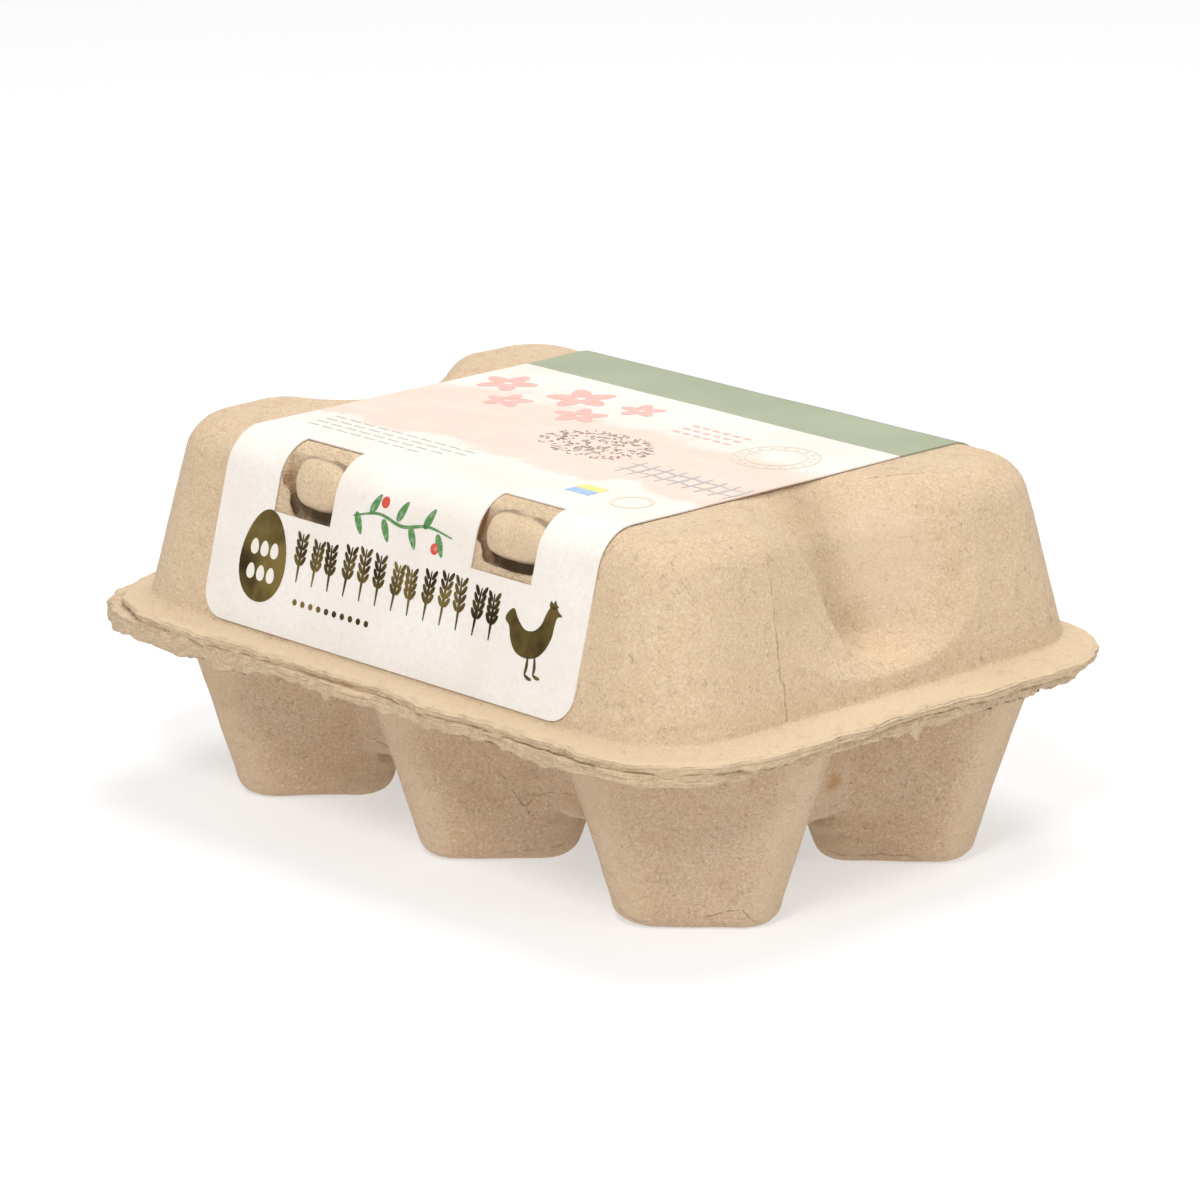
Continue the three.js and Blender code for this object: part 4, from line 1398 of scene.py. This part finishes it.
def label_material():
    """Warm recycled paper with fine flecks, a green band and a washed field of colour."""
    n = Nodes("label_paper_print")
    sheet = n.add("ShaderNodeAttribute", attribute_name="print_mm").outputs["Vector"]
    along = n.add("ShaderNodeSeparateXYZ", {0: sheet}).outputs["Y"]
    cloud, grain = n.noise(14, 3), n.noise(0.8, 3, 0.6)
    streak = n.noise(4, 4, 0.6, stretch=(0.3, 1, 1))

    wavy = n.math("ADD", along, n.times(n.math("SUBTRACT", n.noise(17, 5, 0.6), 0.5), 26.0))
    low, high = along_at_top(-25.0), along_at_top(9.0)
    field = n.times(n.step(wavy, low, low + 3.5), n.step(wavy, high - 7, high, 1, 0))
    low, high = along_at_top(BAND_FRONT_Y), along_at_back(BAND_BACK_Z)
    band = n.times(n.step(along, low - 0.06, low + 0.06), n.step(along, high - 0.06, high + 0.06, 1, 0))

    colour = n.cover(
        n.mix(n.step(cloud, 0.3, 0.75), *PAPER_TONES),
        (n.step(grain, 0.4, 0.8, 0, 0.4), (0.70, 0.61, 0.525)),
        (n.times(n.fibre_lines(1.5, 1.1, 2.6, 0.60, 0.68), 0.35), (0.50, 0.38, 0.28)),
        (n.times(field, n.step(streak, 0.2, 0.8, 0.35, 0.75)), n.mix(n.step(streak, 0.35, 0.7), *WASH_TONES)),
        (band, n.mix(n.step(cloud, 0.3, 0.7), *BAND_TONES)),
    )
    normal = n.bumps((cloud, 0.1, 0.4), (grain, 0.03, 0.6))
    return n.finish(colour, n.step(grain, 0.3, 0.8, 0.62, 0.75), normal, Specular_IOR_Level=0.3)


@functools.cache
def foil_material():
    """Dark gold foil, hot stamped, with a slightly uneven shine."""
    n = Nodes("foil_dark_gold")
    shine = n.noise(9, 3)
    colour = n.mix(n.step(shine, 0.35, 0.7), *FOIL_TONES)
    normal = n.bumps((n.noise(0.6, 2), 0.02, 0.5))
    return n.finish(colour, n.step(shine, 0.3, 0.8, 0.3, 0.42), normal, Metallic=0.85)


@functools.cache
def ink(name):
    """Flat ink that lets a share of the paper's fibres through."""
    tone, cover = INKS[name]
    n = Nodes("ink_" + name)
    patch = n.noise(0.9, 3, 0.6)
    colour = n.mix(n.step(patch, 0.25, 0.55, 0.72 * cover, cover), PAPER_TONE, tone)
    return n.finish(colour, n.step(patch, 0.3, 0.8, 0.55, 0.7), n.bumps((patch, 0.02, 0.5)))


# Loose fibres along the torn edges

FIBRE_RINGS = 4


def fibre_points(rng, place, low, high):
    """Corners of one fibre, a thin four-sided tube that narrows to its tip."""
    outward = np.array([*(place / np.hypot(*place)), 0])
    start = np.array([*place, rng.uniform(low, high)]) - outward * 0.5
    direction = outward * rng.uniform(0.3, 1.0) + rng.normal(0, 0.6, 3)
    direction[2] -= 0.25
    direction /= np.linalg.norm(direction)
    bend = rng.normal(0, 0.5, 3)
    length = rng.uniform(0.7, 2.0)
    half = rng.uniform(0.025, 0.06)
    side = np.cross(direction, rng.normal(0, 1, 3))
    side *= half / np.linalg.norm(side)
    up = np.cross(direction, side)
    points = []
    for t in np.arange(FIBRE_RINGS) / (FIBRE_RINGS - 1):
        spot = start + direction * length * t + bend * (t * t * 0.5)
        points += [spot + corner * (1 - 0.75 * t) for corner in (side, up * 0.9, -side, -up * 0.9)]
    return points


def make_fibres():
    rng = np.random.default_rng(11)
    tube = loft_faces(FIBRE_RINGS, 4).tolist() + [[3, 2, 1, 0], [12, 13, 14, 15]]
    points, faces = [], []
    lid_edge = (lid_rim_ring(), SEAM_Z + GAP, 34.5, 800)
    tray_edge = (tray_rim_ring(), 31.7, 32.8, 1100)
    for ring, low, high, count in (lid_edge, tray_edge):
        for _ in range(count):
            place = ring[rng.integers(len(ring))]
            if place[1] > 0 and abs(place[0]) < HINGE_HALF_LENGTH + 2:
                continue
            faces += [[len(points) + corner for corner in face] for face in tube]
            points += fibre_points(rng, place, low, high)
    fibres = add_mesh("torn_fibres", np.array(points), faces)
    n = Nodes("fibre_pale")
    colour = n.mix(n.noise(6), LID_TONE["base"], LID_TONE["pale"])
    finish_piece(fibres, "lid_pulp", n.finish(colour, 0.9))


# Studio

def make_floor():
    bpy.ops.mesh.primitive_plane_add(size=6, location=(0, 0, 0))
    floor = bpy.context.object
    floor.name = "floor"
    n = Nodes("floor_white")
    n.shader.inputs["Emission Color"].default_value = (1, 1, 1, 1)
    floor.data.materials.append(n.finish(FLOOR_TONE, 0.9, Emission_Strength=FLOOR_GLOW))


def add_area(name, place, size, power):
    data = bpy.data.lights.new(name, "AREA")
    data.shape = "DISK"
    data.size = size
    data.energy = power
    light = bpy.data.objects.new(name, data)
    bpy.context.scene.collection.objects.link(light)
    light.location = place
    light.rotation_euler = (Vector(LIGHT_TARGET) - Vector(place)).to_track_quat("-Z", "Y").to_euler()


def make_studio():
    make_floor()
    world = bpy.data.worlds.new("studio")
    world.use_nodes = True
    sky = world.node_tree.nodes["Background"]
    sky.inputs["Color"].default_value = (1, 1, 1, 1)
    sky.inputs["Strength"].default_value = WORLD_LIGHT
    bpy.context.scene.world = world
    for name, (place, size, power) in LIGHTS.items():
        add_area(name, place, size, power)
    bpy.context.scene.view_settings.view_transform = "Standard"


def make_camera():
    azimuth, elevation = math.radians(CAMERA_AZIMUTH), math.radians(CAMERA_ELEVATION)
    back = Vector((math.sin(azimuth) * math.cos(elevation), -math.cos(azimuth) * math.cos(elevation),
                   math.sin(elevation)))
    right = Vector((math.cos(azimuth), math.sin(azimuth), 0))
    up = back.cross(right)
    data = bpy.data.cameras.new("camera")
    data.lens = CAMERA_LENS
    data.sensor_width = 36.0
    camera = bpy.data.objects.new("camera", data)
    place = (Vector(CAMERA_TARGET) + back * CAMERA_DISTANCE) * MM
    turn = Matrix((right, up, back)).transposed()
    camera.matrix_world = Matrix.Translation(place) @ turn.to_4x4()
    bpy.context.scene.collection.objects.link(camera)
    bpy.context.scene.camera = camera


make_camera()
make_studio()
make_lid()
for latch_side, latch_window in zip(("left", "right"), WINDOWS):
    make_knob("latch_" + latch_side, latch_window)
make_tray()
make_tray_rim()
make_label()
for make_print in (make_badge, make_stalks, make_hen, make_sprig, make_blooms, make_bush, make_fence,
                   make_rules, make_rings, make_bars):
    make_print()
make_fibres()
